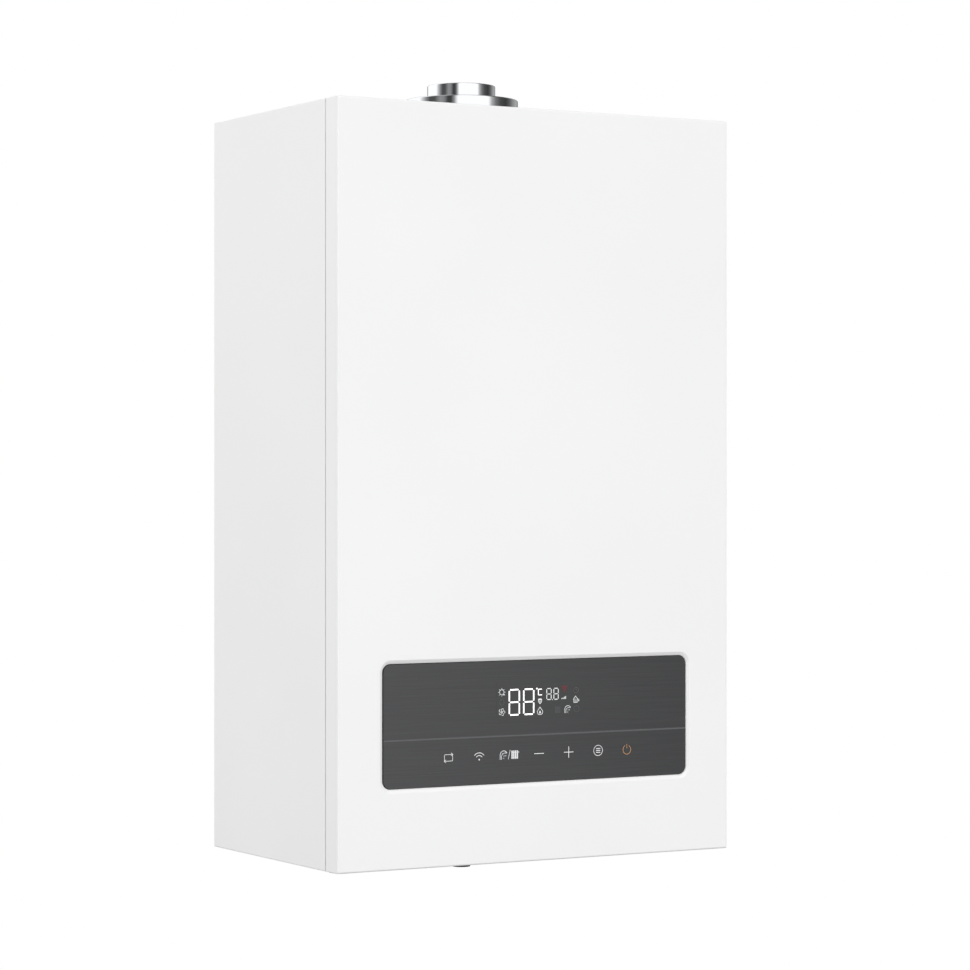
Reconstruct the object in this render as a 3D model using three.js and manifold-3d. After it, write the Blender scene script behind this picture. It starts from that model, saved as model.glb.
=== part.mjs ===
// Wall-hung combi boiler, room sealed, fan flued, with a lift-off cover and a touch panel.
// Millimetres. +X to the right seen from the front, -Y towards the front, +Z up.
// The wall is the plane y = 0. The origin is the middle of the wall bracket's rear face.
import * as THREE from 'three';
import { mergeVertices } from 'three/addons/utils/BufferGeometryUtils.js';
import Module from 'manifold-3d';

const wasm = await Module();
wasm.setup();

// ---------------------------------------------------------------- driving dimensions

// Casing
const CASE_WIDTH = 422;
const CASE_DEPTH = 260;
const CASE_HEIGHT = 700;
const SHEET = 1.2;
const COVER_DEPTH = 22.7;
const SEAM_GAP = 1.7;
const COVER_CORNER = 3;
const FRONT_LIP = 14;
const REAR_LIP = 18;
const BACK_INSET = 12;

// Clearances
const SEAT = 0.3;
const RUN = 0.8;

// Wall bracket
const HANG_HEIGHT = 640;
const BRACKET_WIDTH = 300;
const BRACKET_HEIGHT = 30;
const BRACKET_SHEET = 2.5;
const BRACKET_HOLE = 4.5;
const BRACKET_HOLE_X = 120;
const HOOK_WIDTH = 36;
const HOOK_X = 80;
const HOOK_TIP = 10;
const HOOK_PLAY = 2;

// Cover screws
const SCREW_RADIUS = 2.5;
const SCREW_HEAD = 4.5;
const SCREW_HEAD_HEIGHT = 1;
const SCREW_LENGTH = 8;
const SCREW_FROM_SIDE = 56;
const SCREW_FROM_FRONT = 13;
const TAB_GAP = 1;

// Touch panel and its window in the cover
const PANEL_SIDE = 47;
const PANEL_WIDTH = CASE_WIDTH - 2 * PANEL_SIDE;
const PANEL_HEIGHT = 113.1;
const PANEL_BOTTOM = 73.7;
const PANEL_CORNER = 8;
const WINDOW_GAP = 0.4;
const RIM_SLOPE = 3.4;
const RIM_DEPTH = 2;
const GLASS_INSET = 1.25;
const FRAME_OVERLAP = 4;
const GLASS_THICKNESS = 3;
const FRAME_THICKNESS = 3.2;
const FRAME_BORDER = 16;
const BOARD = 1.6;
const DISPLAY_WIDTH = 94;
const DISPLAY_HEIGHT = 34;
const DISPLAY_THICKNESS = 1.2;

// Control box
const BOX_SIDE_MARGIN = 10;
const BOX_BELOW_PANEL = 15.7;
const BOX_ABOVE_PANEL = 15;
const BOX_DEPTH = 54;
const BOX_WALL = 2;
const STANDOFF = 2;
const STANDOFF_RADIUS = 4;
const COMPONENT_HEIGHT = 28;
const HINGE_BELOW_BOX = 18;
const HINGE_BEHIND_GLASS = 16.2;
const HINGE_PIN = 3;
const HINGE_HEAD = 5;
const LUG_RADIUS = 8;
const LUG_THICKNESS = 6;
const TAB_SHEET = 2.5;
const TAB_REACH = 40;

// Flue outlet
const FLUE_FROM_WALL = 113;
const SPIGOT_RADIUS = 33;
const SPIGOT_WALL = 2.5;
const SPIGOT_RISE = 36;
const SPIGOT_DROP = 12;
const COLLAR_RADIUS = 55;
const COLLAR_WALL = 2.5;
const COLLAR_RISE = 21.8;
const COLLAR_LIP = 4;
const COLLAR_FLANGE = 66;
const COLLAR_FLANGE_THICKNESS = 2;

// Fan
const FAN_HEIGHT = 616;
const FAN_WIDTH = 60;
const VOLUTE_RADIUS = 62;
const VOLUTE_GROWTH = 10;
const VOLUTE_WALL = 2;
const FAN_INLET = 28;
const IMPELLER_RADIUS = 48;
const IMPELLER_WIDTH = 34;
const IMPELLER_BLADES = 12;
const BLADE_THICKNESS = 1.5;
const BLADE_LENGTH = 18;
const FAN_SHAFT = 4;
const FAN_MOTOR_RADIUS = 36;
const FAN_MOTOR_LENGTH = 44;
const FAN_NECK = 29.5;

// Combustion chamber, exchanger and hood
const CHAMBER_WIDTH = 247;
const CHAMBER_FROM_FRONT = 34;
const CHAMBER_FRONT = CASE_DEPTH - CHAMBER_FROM_FRONT;
const CHAMBER_BACK = 88;
const CHAMBER_BOTTOM = 300;
const CHAMBER_HEIGHT = 200;
const CHAMBER_SHEET = 1.5;
const INSULATION = 10;
const INSULATION_HEIGHT = 146;
const FIN_PACK_HEIGHT = 48;
const FIN_CORE = 22;
const FIN_PITCH = 10;
const FIN_THICKNESS = 2.4;
const TUBE_COUNT = 5;
const TUBE_INSET = 25;
const TUBE_PITCH = (CHAMBER_FRONT - CHAMBER_BACK - 2 * TUBE_INSET) / (TUBE_COUNT - 1);
const TUBE_FILL = 4 / 11;
const TUBE_RADIUS = TUBE_PITCH * TUBE_FILL;
const TUBE_OVERHANG = 8;
const HOOD_HEIGHT = 42;
const HOOD_DUCT_BACK = 44;
const HOOD_DUCT_WIDTH = 130;
const HOOD_DUCT_HEIGHT = 150;
const HOOD_WALL = 1.5;
const SIGHT_GLASS = 12;
const SIGHT_GLASS_THICKNESS = 3;
const SIGHT_HEIGHT = 34;
const SIGHT_X = 62;
const CHAMBER_ARM_HEIGHT = 20;
const CHAMBER_ARM_DEPTH = 50;
const CHAMBER_ARM_Z = 330;

// Burner
const BURNER_BOTTOM = 252;
const BURNER_HEIGHT = 46;
const BURNER_BASE = 9;
const BURNER_BLADES = 11;
const BURNER_PITCH = 19;
const BURNER_BLADE = 9;
const BURNER_MARGIN = 14;
const NOZZLE_BAR_RADIUS = 8;
const NOZZLE_BAR_FROM_FRONT = 27;
const NOZZLE_BAR_Z = 264;
const NOZZLE_RADIUS = 3;
const NOZZLE_LENGTH = 7;
const ELECTRODE_RADIUS = 4;
const ELECTRODE_TIP = 1.3;
const ELECTRODE_LENGTH = 14;
const ELECTRODE_REACH = 24;
const ELECTRODE_Z = 308;
const IGNITION_X = 20;
const IGNITION_SPACING = 16;
const FLAME_SENSOR_X = -60;

// Expansion vessel
const VESSEL_RADIUS = 138;
const VESSEL_DEPTH = 62;
const VESSEL_CLEARANCE = 4;
const VESSEL_SEAM = 6;
const VESSEL_DISH = 22;
const VESSEL_PORT = 7;
const VESSEL_PORT_LENGTH = 14;

// Bottom connections
const CONNECTION_PITCH = 65;
const CONNECTION_FROM_WALL = 113;
const GAS_RADIUS = 9.3;
const HEATING_RADIUS = 13.2;
const WATER_RADIUS = 10.5;
const CONNECTION_WALL = 2.5;
const GAS_DROP = 20;
const PIPE_DROP = 18;
const NUT_MARGIN = 5;
const NUT_HEIGHT = 9;
const BORE_DEPTH = 26;
const GLAND_RADIUS = 9;
const GLAND_FROM_SIDE = 41;
const GLAND_FROM_WALL = 150;
const GLAND_DROP = 12;
const GLAND_BORE = 4;

// Hydraulic blocks
const BLOCK_BOTTOM = 30;
const BLOCK_HEIGHT = 45;
const BLOCK_INNER = 50;
const BLOCK_OUTER = 160;
const BLOCK_FRONT = 150;
const BLOCK_BACK = 80;
const BLOCK_CHAMFER = 6;
const PLATE_STACK_DEPTH = 40;
const PLATE_STACK_HEIGHT = 76;
const PLATE_STACK_HALF_WIDTH = 100;
const PLATE_COUNT = 10;
const PLATE_EDGE = 3;
const PLATE_PORT = 9;
const PLATE_PORT_LENGTH = 10;

// Pump
const PUMP_X = 130;
const PUMP_HEIGHT = 130;
const PUMP_RADIUS = 46;
const PUMP_BACK = 72;
const PUMP_FRONT = 118;
const PUMP_WALL = 4;
const PUMP_MOTOR_RADIUS = 43;
const PUMP_MOTOR_BEHIND_BOX = 12.55;
const PUMP_NECK = 16;
const PUMP_SHAFT = 4;
const PUMP_IMPELLER_RADIUS = 32;
const PUMP_IMPELLER_WIDTH = 12;
const PUMP_VANES = 6;

// Valves and sensors
const DIVERTER_X = -98;
const DIVERTER_LEGS = 20;
const DIVERTER_MOTOR_HEIGHT = 36;
const DIVERTER_MOTOR_WIDTH = 44;
const DIVERTER_LEG_WIDTH = 5;
const STEM_RADIUS = 3.5;
const STEM_TRAVEL = 8;
const STEM_ENGAGED = 6;
const SAFETY_X = 72;
const SAFETY_UP_BLOCK = 14;
const SAFETY_RADIUS = 11;
const SAFETY_LENGTH = 20;
const SAFETY_KNOB_RADIUS = 13;
const SAFETY_KNOB_LENGTH = 11;
const TAP_X = 97;
const TAP_STEM = 4;
const TAP_KNOB_RADIUS = 11;
const TAP_KNOB_HEIGHT = 12;
const TURBINE_RADIUS = 6.5;
const TURBINE_HEIGHT = 10;
const TURBINE_AXLE = 1.2;
const TURBINE_HUB = 3;
const TURBINE_VANES = 4;
const GAS_VALVE_HEIGHT = 66;
const GAS_VALVE_HALF_WIDTH = 30;
const GAS_VALVE_FRONT = 146;
const GAS_VALVE_BACK = 92;
const GAS_VALVE_BOTTOM = 76;
const COIL_RADIUS = 14;
const COIL_LENGTH = 26;
const PIPE_RADIUS = 8;
const GAS_PIPE_LEVEL = 232;
const HOSE_RADIUS = 4;
const PIPE_BEND = 22;
const FLOW_PIPE_X = 150;
const SWITCH_RADIUS = 30;
const SWITCH_THICKNESS = 26;
const SWITCH_FROM_WALL = 150;
const SWITCH_HEIGHT = 628;

// Facets
const ROUND = 24;
const BIG_ROUND = 40;
const TUBE_SIDES = 8;

// ---------------------------------------------------------------- worked out from them

const HALF_WIDTH = CASE_WIDTH / 2;
const INNER_HALF = HALF_WIDTH - SHEET;
const FRONT_Y = -CASE_DEPTH;
const COVER_REAR_Y = FRONT_Y + COVER_DEPTH;
const CHASSIS_FRONT_Y = COVER_REAR_Y + SEAM_GAP;
const BACK_Y = -BACK_INSET;
const BACK_FRONT_Y = BACK_Y - SHEET;
const TOP_INNER = CASE_HEIGHT - SHEET;
const FLUE_Y = -FLUE_FROM_WALL;
const SCREW_X = HALF_WIDTH - SCREW_FROM_SIDE;
const GLAND_X = HALF_WIDTH - GLAND_FROM_SIDE;
const PANEL_MID = PANEL_BOTTOM + PANEL_HEIGHT / 2;
const GLASS_Y = FRONT_Y + GLASS_INSET;
const FRAME_Y = GLASS_Y + GLASS_THICKNESS;
const BOX_FRONT_Y = FRAME_Y + FRAME_THICKNESS;
const BOX_REAR_Y = BOX_FRONT_Y + BOX_DEPTH;
const PUMP_MOTOR_FRONT = -(BOX_REAR_Y + BOX_WALL + PUMP_MOTOR_BEHIND_BOX);
const BOX_HALF = PANEL_WIDTH / 2 + BOX_SIDE_MARGIN;
const BOX_BOTTOM = PANEL_BOTTOM - BOX_BELOW_PANEL;
const BOX_TOP = PANEL_BOTTOM + PANEL_HEIGHT + BOX_ABOVE_PANEL;
const HINGE_Y = GLASS_Y + HINGE_BEHIND_GLASS;
const HINGE_Z = BOX_BOTTOM - HINGE_BELOW_BOX;
const CONNECTION_Y = -CONNECTION_FROM_WALL;
const BLOCK_TOP = BLOCK_BOTTOM + BLOCK_HEIGHT;
const CHAMBER_TOP = CHAMBER_BOTTOM + CHAMBER_HEIGHT;
const CHAMBER_HALF = CHAMBER_WIDTH / 2;
const FIN_BOTTOM = CHAMBER_BOTTOM + INSULATION_HEIGHT + SEAT;
const TUBE_Z = FIN_BOTTOM + FIN_PACK_HEIGHT / 2;
const TUBE_FRONT_Y = -(CHAMBER_FRONT + CHAMBER_BACK) / 2 - TUBE_PITCH * (TUBE_COUNT - 1) / 2;
const TUBE_BACK_Y = TUBE_FRONT_Y + TUBE_PITCH * (TUBE_COUNT - 1);
const TUBE_END = CHAMBER_HALF + TUBE_OVERHANG;

// ---------------------------------------------------------------- shapes

// A box between two x, two y and two z values.
function block([x0, x1], [y0, y1], [z0, z1]) {
  const box = new THREE.BoxGeometry(x1 - x0, y1 - y0, z1 - z0);
  return box.translate((x0 + x1) / 2, (y0 + y1) / 2, (z0 + z1) / 2);
}

// Turns a shape made along +Z into one along the named axis.
const TURN = {
  x: new THREE.Matrix4().makeBasis(
    new THREE.Vector3(0, 1, 0), new THREE.Vector3(0, 0, 1), new THREE.Vector3(1, 0, 0)),
  y: new THREE.Matrix4().makeBasis(
    new THREE.Vector3(0, 0, 1), new THREE.Vector3(1, 0, 0), new THREE.Vector3(0, 1, 0)),
  z: new THREE.Matrix4(),
};

// A body of revolution about a line along an axis. The profile lists [radius, place along the
// axis], and either starts and ends on the axis or closes on itself.
function turned(axis, [x, y, z], profile, sides = ROUND) {
  const points = profile.map(([radius, along]) => new THREE.Vector2(radius, along));
  const area = THREE.ShapeUtils.area(points);
  if (area < 0) points.reverse();
  const body = new THREE.LatheGeometry(points, sides);
  body.rotateX(Math.PI / 2);
  return body.applyMatrix4(TURN[axis]).translate(x, y, z);
}

// A cylinder from one place along an axis to another.
function rod(axis, centre, radius, from, to, sides = ROUND) {
  return turned(axis, centre, [[0, from], [radius, from], [radius, to], [0, to]], sides);
}

// A ring: a cylinder with a bore right through it.
function ring(axis, centre, outer, inner, from, to, sides = ROUND) {
  const profile = [[inner, from], [outer, from], [outer, to], [inner, to], [inner, from]];
  return turned(axis, centre, profile, sides);
}

// A flat outline in the plane across an axis, carried along it. Outlines across x are given as
// (y, z), across y as (z, x) and across z as (x, y).
function slab(axis, outline, from, to, holes = []) {
  const shape = new THREE.Shape(outline);
  holes.forEach((hole) => shape.holes.push(new THREE.Path(hole)));
  const body = new THREE.ExtrudeGeometry(shape, { depth: to - from, bevelEnabled: false });
  return body.translate(0, 0, from).applyMatrix4(TURN[axis]);
}

function point(a, b) {
  return new THREE.Vector2(a, b);
}

function rectangle([a0, a1], [b0, b1]) {
  return [point(a0, b0), point(a1, b0), point(a1, b1), point(a0, b1)];
}

function arc([a, b], radius, start, end, steps) {
  const spots = Array.from({ length: steps + 1 }, (_, i) => start + (end - start) * i / steps);
  return spots.map((turn) => point(a + radius * Math.cos(turn), b + radius * Math.sin(turn)));
}

function circle(centre, radius, sides = ROUND) {
  return arc(centre, radius, 0, 2 * Math.PI, sides).slice(0, sides);
}

// A rectangle with round corners about a middle, as four quarter arcs.
function roundedRectangle([a, b], width, height, radius, steps = 4) {
  const signs = [[1, 1], [-1, 1], [-1, -1], [1, -1]];
  return signs.flatMap(([sa, sb], i) => {
    const centre = [a + sa * (width / 2 - radius), b + sb * (height / 2 - radius)];
    return arc(centre, radius, i * Math.PI / 2, (i + 1) * Math.PI / 2, steps);
  });
}

// A straight-run path with round bends, for pipes and hoses.
class PipeRun extends THREE.Curve {
  constructor(corners, bend) {
    super();
    const stops = corners.map((corner) => new THREE.Vector3(...corner));
    this.stops = [stops[0]];
    for (let i = 1; i < stops.length - 1; i++) {
      const before = stops[i - 1].clone().sub(stops[i]);
      const after = stops[i + 1].clone().sub(stops[i]);
      const reach = Math.min(bend, before.length() / 2, after.length() / 2);
      const start = stops[i].clone().addScaledVector(before.normalize(), reach);
      const end = stops[i].clone().addScaledVector(after.normalize(), reach);
      const turn = new THREE.QuadraticBezierCurve3(start, stops[i], end);
      this.stops.push(...turn.getPoints(4));
    }
    this.stops.push(stops.at(-1));
    this.stops = this.stops.filter((stop, i, all) => i === 0 || stop.distanceTo(all[i - 1]) > 0.01);
  }

  getPoint(share, target = new THREE.Vector3()) {
    return target.copy(this.stops[Math.round(share * (this.stops.length - 1))]);
  }

  getPointAt(share, target) {
    return this.getPoint(share, target);
  }

  getTangentAt(share, target = new THREE.Vector3()) {
    const last = this.stops.length - 1;
    const i = Math.round(share * last);
    const before = this.stops[i].clone().sub(this.stops[Math.max(i - 1, 0)]).normalize();
    const after = this.stops[Math.min(i + 1, last)].clone().sub(this.stops[i]).normalize();
    return target.copy(before.add(after)).normalize();
  }
}

function pipe(corners, radius, bend = PIPE_BEND) {
  const run = new PipeRun(corners, bend);
  const section = new THREE.Shape(circle([0, 0], radius, TUBE_SIDES));
  const settings = { extrudePath: run, steps: run.stops.length - 1, bevelEnabled: false };
  return new THREE.ExtrudeGeometry(section, settings);
}

// A closed bead that follows a rounded rectangle in a plane across y. The section lists
// [inset from the outline, place along y].
function bead([x, z], width, height, radius, section, steps = 4) {
  const loops = section.map(([inset, y]) => {
    const outline = roundedRectangle(
      [x, z], width - 2 * inset, height - 2 * inset, radius - inset, steps);
    return outline.map((spot) => [spot.x, y, spot.y]);
  });
  const count = loops[0].length;
  const index = [];
  for (let i = 0; i < loops.length; i++) {
    const next = (i + 1) % loops.length;
    for (let j = 0; j < count; j++) {
      const step = (j + 1) % count;
      const [a, b] = [i * count + j, i * count + step];
      const [c, d] = [next * count + step, next * count + j];
      index.push(a, c, b, a, d, c);
    }
  }
  const body = new THREE.BufferGeometry();
  body.setAttribute('position', new THREE.Float32BufferAttribute(loops.flat(2), 3));
  body.setIndex(index);
  return body;
}

// ---------------------------------------------------------------- joining and cutting

function toSolid(geometry) {
  const bare = geometry.clone();
  bare.deleteAttribute('normal');
  bare.deleteAttribute('uv');
  const merged = mergeVertices(bare, 1e-4);
  const mesh = new wasm.Mesh({
    numProp: 3,
    vertProperties: new Float32Array(merged.attributes.position.array),
    triVerts: new Uint32Array(merged.index.array),
  });
  mesh.merge();
  return new wasm.Manifold(mesh);
}

function toGeometry(body) {
  const mesh = body.getMesh();
  const geometry = new THREE.BufferGeometry();
  geometry.setAttribute('position', new THREE.BufferAttribute(mesh.vertProperties, 3));
  geometry.setIndex(new THREE.BufferAttribute(mesh.triVerts, 1));
  return geometry;
}

function weld(...pieces) {
  return toGeometry(pieces.map(toSolid).reduce((whole, piece) => whole.add(piece)));
}

function carve(piece, ...tools) {
  return toGeometry(tools.map(toSolid).reduce((rest, tool) => rest.subtract(tool), toSolid(piece)));
}

// ---------------------------------------------------------------- the assembly

const boiler = new THREE.Group();
boiler.position.z = -HANG_HEIGHT;

const FINISHES = {
  white_enamel: { color: 0xf2f2f2, roughness: 0.45, metalness: 0 },
  galvanised: { color: 0xb9bcbe, roughness: 0.45, metalness: 0.9 },
  glass: { color: 0x4a4b4c, roughness: 0.15, metalness: 0 },
  black_plastic: { color: 0x202122, roughness: 0.55, metalness: 0 },
  grey_plastic: { color: 0x6c7074, roughness: 0.55, metalness: 0 },
  circuit_board: { color: 0x1f5a38, roughness: 0.5, metalness: 0 },
  polished: { color: 0xd8dadc, roughness: 0.08, metalness: 1 },
  blackened: { color: 0x2c2d2e, roughness: 0.35, metalness: 0.6 },
  aluminium: { color: 0xc3c6c9, roughness: 0.35, metalness: 0.9 },
  copper: { color: 0xb87349, roughness: 0.3, metalness: 1 },
  brass: { color: 0xc2a25a, roughness: 0.3, metalness: 1 },
  stainless: { color: 0xb4b6b8, roughness: 0.3, metalness: 1 },
  ceramic: { color: 0xeae6dc, roughness: 0.7, metalness: 0 },
  red_enamel: { color: 0xb02a20, roughness: 0.4, metalness: 0 },
  red_plastic: { color: 0xc02020, roughness: 0.5, metalness: 0 },
  blue_plastic: { color: 0x2255a0, roughness: 0.5, metalness: 0 },
  rubber: { color: 0x303030, roughness: 0.8, metalness: 0 },
};

function place(name, finish, geometry) {
  const mesh = new THREE.Mesh(geometry, new THREE.MeshStandardMaterial(FINISHES[finish]));
  mesh.name = name;
  boiler.add(mesh);
}

const SIDES = [['left', -1], ['right', 1]];

// The span from a to b times a side's sign, lowest first.
function span(sign, a, b) {
  return [Math.min(sign * a, sign * b), Math.max(sign * a, sign * b)];
}

// ---------------------------------------------------------------- casing

// Bottom connections: name, place across, outer radius and drop below the casing.
const CONNECTIONS = [
  { name: 'heating_flow_connection', x: -2 * CONNECTION_PITCH, radius: HEATING_RADIUS, drop: PIPE_DROP },
  { name: 'hot_water_connection', x: -CONNECTION_PITCH, radius: WATER_RADIUS, drop: PIPE_DROP },
  { name: 'gas_connection', x: 0, radius: GAS_RADIUS, drop: GAS_DROP },
  { name: 'cold_water_connection', x: CONNECTION_PITCH, radius: WATER_RADIUS, drop: PIPE_DROP },
  { name: 'heating_return_connection', x: 2 * CONNECTION_PITCH, radius: HEATING_RADIUS, drop: PIPE_DROP },
];

function sidePanel(sign) {
  const front = CHASSIS_FRONT_Y;
  const outline = [
    [HALF_WIDTH, 0], [HALF_WIDTH - REAR_LIP, 0], [HALF_WIDTH - REAR_LIP, -SHEET],
    [INNER_HALF, -SHEET], [INNER_HALF, front + SHEET], [HALF_WIDTH - FRONT_LIP, front + SHEET],
    [HALF_WIDTH - FRONT_LIP, front], [HALF_WIDTH, front],
  ];
  return slab('z', outline.map(([x, y]) => point(sign * x, y)), 0, CASE_HEIGHT);
}
SIDES.forEach(([side, sign]) => place(`side_panel_${side}`, 'white_enamel', sidePanel(sign)));

const SLOT_BOTTOM = HANG_HEIGHT - HOOK_TIP;

function backPanel() {
  const slots = [-HOOK_X, HOOK_X].map((x) => rectangle(
    [SLOT_BOTTOM, HANG_HEIGHT + BRACKET_SHEET],
    [x - HOOK_WIDTH / 2 - HOOK_PLAY, x + HOOK_WIDTH / 2 + HOOK_PLAY]));
  const outline = rectangle([SHEET, TOP_INNER], [-INNER_HALF, INNER_HALF]);
  return slab('y', outline, BACK_FRONT_Y, BACK_Y, slots);
}
place('back_panel', 'galvanised', backPanel());

function topPanel() {
  const outline = rectangle([-INNER_HALF, INNER_HALF], [CHASSIS_FRONT_Y + SHEET, -SHEET]);
  const hole = circle([0, FLUE_Y], COLLAR_RADIUS - COLLAR_LIP, BIG_ROUND);
  const lipHalf = HALF_WIDTH - FRONT_LIP;
  return weld(
    slab('z', outline, TOP_INNER, CASE_HEIGHT, [hole]),
    block([-lipHalf, lipHalf], [CHASSIS_FRONT_Y, CHASSIS_FRONT_Y + SHEET],
      [CASE_HEIGHT - FRONT_LIP, CASE_HEIGHT]));
}
place('top_panel', 'white_enamel', topPanel());

const SCREW_Y = FRONT_Y + SCREW_FROM_FRONT;
const TAB_TOP = HINGE_Z + LUG_RADIUS;

function bottomPanel() {
  const holes = CONNECTIONS.map(({ x, radius }) => circle([x, CONNECTION_Y], radius + RUN));
  holes.push(circle([TAP_X, CONNECTION_Y], TAP_STEM + 2 * RUN, 12));
  holes.push(circle([GLAND_X, -GLAND_FROM_WALL], GLAND_RADIUS + SEAT));
  const outline = rectangle([-INNER_HALF, INNER_HALF], [CHASSIS_FRONT_Y + SHEET, BACK_Y]);
  const lipHalf = HALF_WIDTH - FRONT_LIP;
  const lip = block([-lipHalf, lipHalf], [CHASSIS_FRONT_Y, CHASSIS_FRONT_Y + SHEET], [0, FRONT_LIP]);
  const plate = slab('z', outline, 0, SHEET, holes);
  const screwTabs = SIDES.map(([, sign]) => block(
    [sign * SCREW_X - 3 * SCREW_HEAD, sign * SCREW_X + 3 * SCREW_HEAD],
    [SCREW_Y - SCREW_HEAD, CHASSIS_FRONT_Y + SHEET],
    [SHEET + TAB_GAP, 2 * SHEET + TAB_GAP]));
  const screwSlots = SIDES.map(([, sign]) => block(
    [sign * SCREW_X - SCREW_RADIUS - RUN, sign * SCREW_X + SCREW_RADIUS + RUN],
    [FRONT_Y, SCREW_Y + SCREW_RADIUS + RUN],
    [0, FRONT_LIP]));
  const hingeTabs = SIDES.map(([, sign]) => weld(
    block(span(sign, BOX_HALF + SEAT, BOX_HALF + SEAT + TAB_SHEET),
      [CHASSIS_FRONT_Y, HINGE_Y + TAB_REACH], [0, TAB_TOP]),
    block(span(sign, BOX_HALF + SEAT, BOX_HALF + SEAT + TAB_SHEET),
      [HINGE_Y - LUG_RADIUS, HINGE_Y + TAB_REACH], [SHEET + TAB_GAP, TAB_TOP])));
  const pinHole = rod('x', [0, HINGE_Y, HINGE_Z], HINGE_PIN + SEAT, -HALF_WIDTH, HALF_WIDTH, 12);
  return carve(weld(plate, lip, ...screwTabs, ...hingeTabs), pinHole, ...screwSlots);
}
place('bottom_panel', 'galvanised', bottomPanel());

function wallBracket() {
  const holes = [-BRACKET_HOLE_X, BRACKET_HOLE_X].map((x) => circle([HANG_HEIGHT, x], BRACKET_HOLE, 16));
  const outline = rectangle(
    [HANG_HEIGHT - BRACKET_HEIGHT / 2, HANG_HEIGHT + BRACKET_HEIGHT / 2],
    [-BRACKET_WIDTH / 2, BRACKET_WIDTH / 2]);
  const plate = slab('y', outline, -BRACKET_SHEET, 0, holes);
  const tipY = BACK_FRONT_Y - HOOK_PLAY - BRACKET_SHEET;
  const hooks = [-HOOK_X, HOOK_X].flatMap((x) => {
    const across = [x - HOOK_WIDTH / 2, x + HOOK_WIDTH / 2];
    return [
      block(across, [tipY, 0], [HANG_HEIGHT, HANG_HEIGHT + BRACKET_SHEET]),
      block(across, [tipY, tipY + BRACKET_SHEET], [HANG_HEIGHT, HANG_HEIGHT + HOOK_TIP]),
    ];
  });
  return weld(plate, ...hooks);
}
place('wall_bracket', 'galvanised', wallBracket());

// ---------------------------------------------------------------- front cover

function frontCover() {
  const rear = COVER_REAR_Y;
  const turnAt = HALF_WIDTH - COVER_CORNER;
  const corner = [-turnAt, FRONT_Y + COVER_CORNER];
  const otherCorner = [turnAt, FRONT_Y + COVER_CORNER];
  const outline = [
    point(-HALF_WIDTH, rear),
    ...arc(corner, COVER_CORNER, Math.PI, 1.5 * Math.PI, 4),
    ...arc(otherCorner, COVER_CORNER, 1.5 * Math.PI, 2 * Math.PI, 4),
    point(HALF_WIDTH, rear),
  ];
  const outside = slab('z', outline, 0, CASE_HEIGHT);
  const inside = block([-INNER_HALF, INNER_HALF], [FRONT_Y + SHEET, rear + SHEET], [SHEET, TOP_INNER]);
  const rimReach = WINDOW_GAP + RIM_SLOPE;
  const rimWidth = PANEL_WIDTH + 2 * rimReach;
  const rimHeight = PANEL_HEIGHT + 2 * rimReach;
  const rimCorner = PANEL_CORNER + rimReach;
  const rimOutline = roundedRectangle([PANEL_MID, 0], rimHeight, rimWidth, rimCorner);
  const window = slab('y', rimOutline, FRONT_Y - SHEET, FRONT_Y + 2 * SHEET);
  const rim = bead([0, PANEL_MID], rimWidth, rimHeight, rimCorner, [
    [-SHEET, FRONT_Y], [-SHEET, FRONT_Y + SHEET], [0, FRONT_Y + SHEET],
    [RIM_SLOPE, FRONT_Y + RIM_DEPTH + SHEET], [RIM_SLOPE, FRONT_Y + RIM_DEPTH], [0, FRONT_Y],
  ]);
  const screwHoles = SIDES.map(([, sign]) => rod(
    'z', [sign * SCREW_X, SCREW_Y, 0], SCREW_RADIUS + SEAT, -SHEET, 2 * SHEET, 12));
  return weld(carve(outside, inside, window, ...screwHoles), rim);
}
place('front_cover', 'white_enamel', frontCover());

SIDES.forEach(([side, sign]) => {
  const profile = [
    [0, -SCREW_HEAD_HEIGHT], [SCREW_HEAD, -SCREW_HEAD_HEIGHT], [SCREW_HEAD, 0],
    [SCREW_RADIUS, 0], [SCREW_RADIUS, SCREW_LENGTH], [0, SCREW_LENGTH],
  ];
  place(`cover_screw_${side}`, 'stainless', turned('z', [sign * SCREW_X, SCREW_Y, 0], profile, 16));
});

// ---------------------------------------------------------------- control box and touch panel

const FRAME_WIDTH = PANEL_WIDTH + 2 * FRAME_OVERLAP;
const FRAME_HEIGHT = PANEL_HEIGHT + 2 * FRAME_OVERLAP;
const FRAME_CORNER = PANEL_CORNER + FRAME_OVERLAP;

place('panel_glass', 'glass', slab('y',
  roundedRectangle([PANEL_MID, 0], PANEL_HEIGHT, PANEL_WIDTH, PANEL_CORNER), GLASS_Y, FRAME_Y));

function panelFrame() {
  const outline = roundedRectangle([PANEL_MID, 0], FRAME_HEIGHT, FRAME_WIDTH, FRAME_CORNER);
  const window = rectangle(
    [PANEL_MID - FRAME_HEIGHT / 2 + FRAME_BORDER, PANEL_MID + FRAME_HEIGHT / 2 - FRAME_BORDER],
    [-FRAME_WIDTH / 2 + FRAME_BORDER, FRAME_WIDTH / 2 - FRAME_BORDER]);
  return slab('y', outline, FRAME_Y, BOX_FRONT_Y, [window]);
}
place('panel_frame', 'black_plastic', panelFrame());

function displayBoard() {
  const halfWidth = FRAME_WIDTH / 2 - FRAME_BORDER - RUN;
  const halfHeight = FRAME_HEIGHT / 2 - FRAME_BORDER - RUN;
  const displayTop = PANEL_MID + halfHeight - RUN;
  return weld(
    block([-halfWidth, halfWidth], [BOX_FRONT_Y - BOARD, BOX_FRONT_Y],
      [PANEL_MID - halfHeight, PANEL_MID + halfHeight]),
    block([-DISPLAY_WIDTH / 2, DISPLAY_WIDTH / 2], [BOX_FRONT_Y - BOARD - DISPLAY_THICKNESS, BOX_FRONT_Y],
      [displayTop - DISPLAY_HEIGHT, displayTop]));
}
place('display_board', 'circuit_board', displayBoard());

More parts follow.
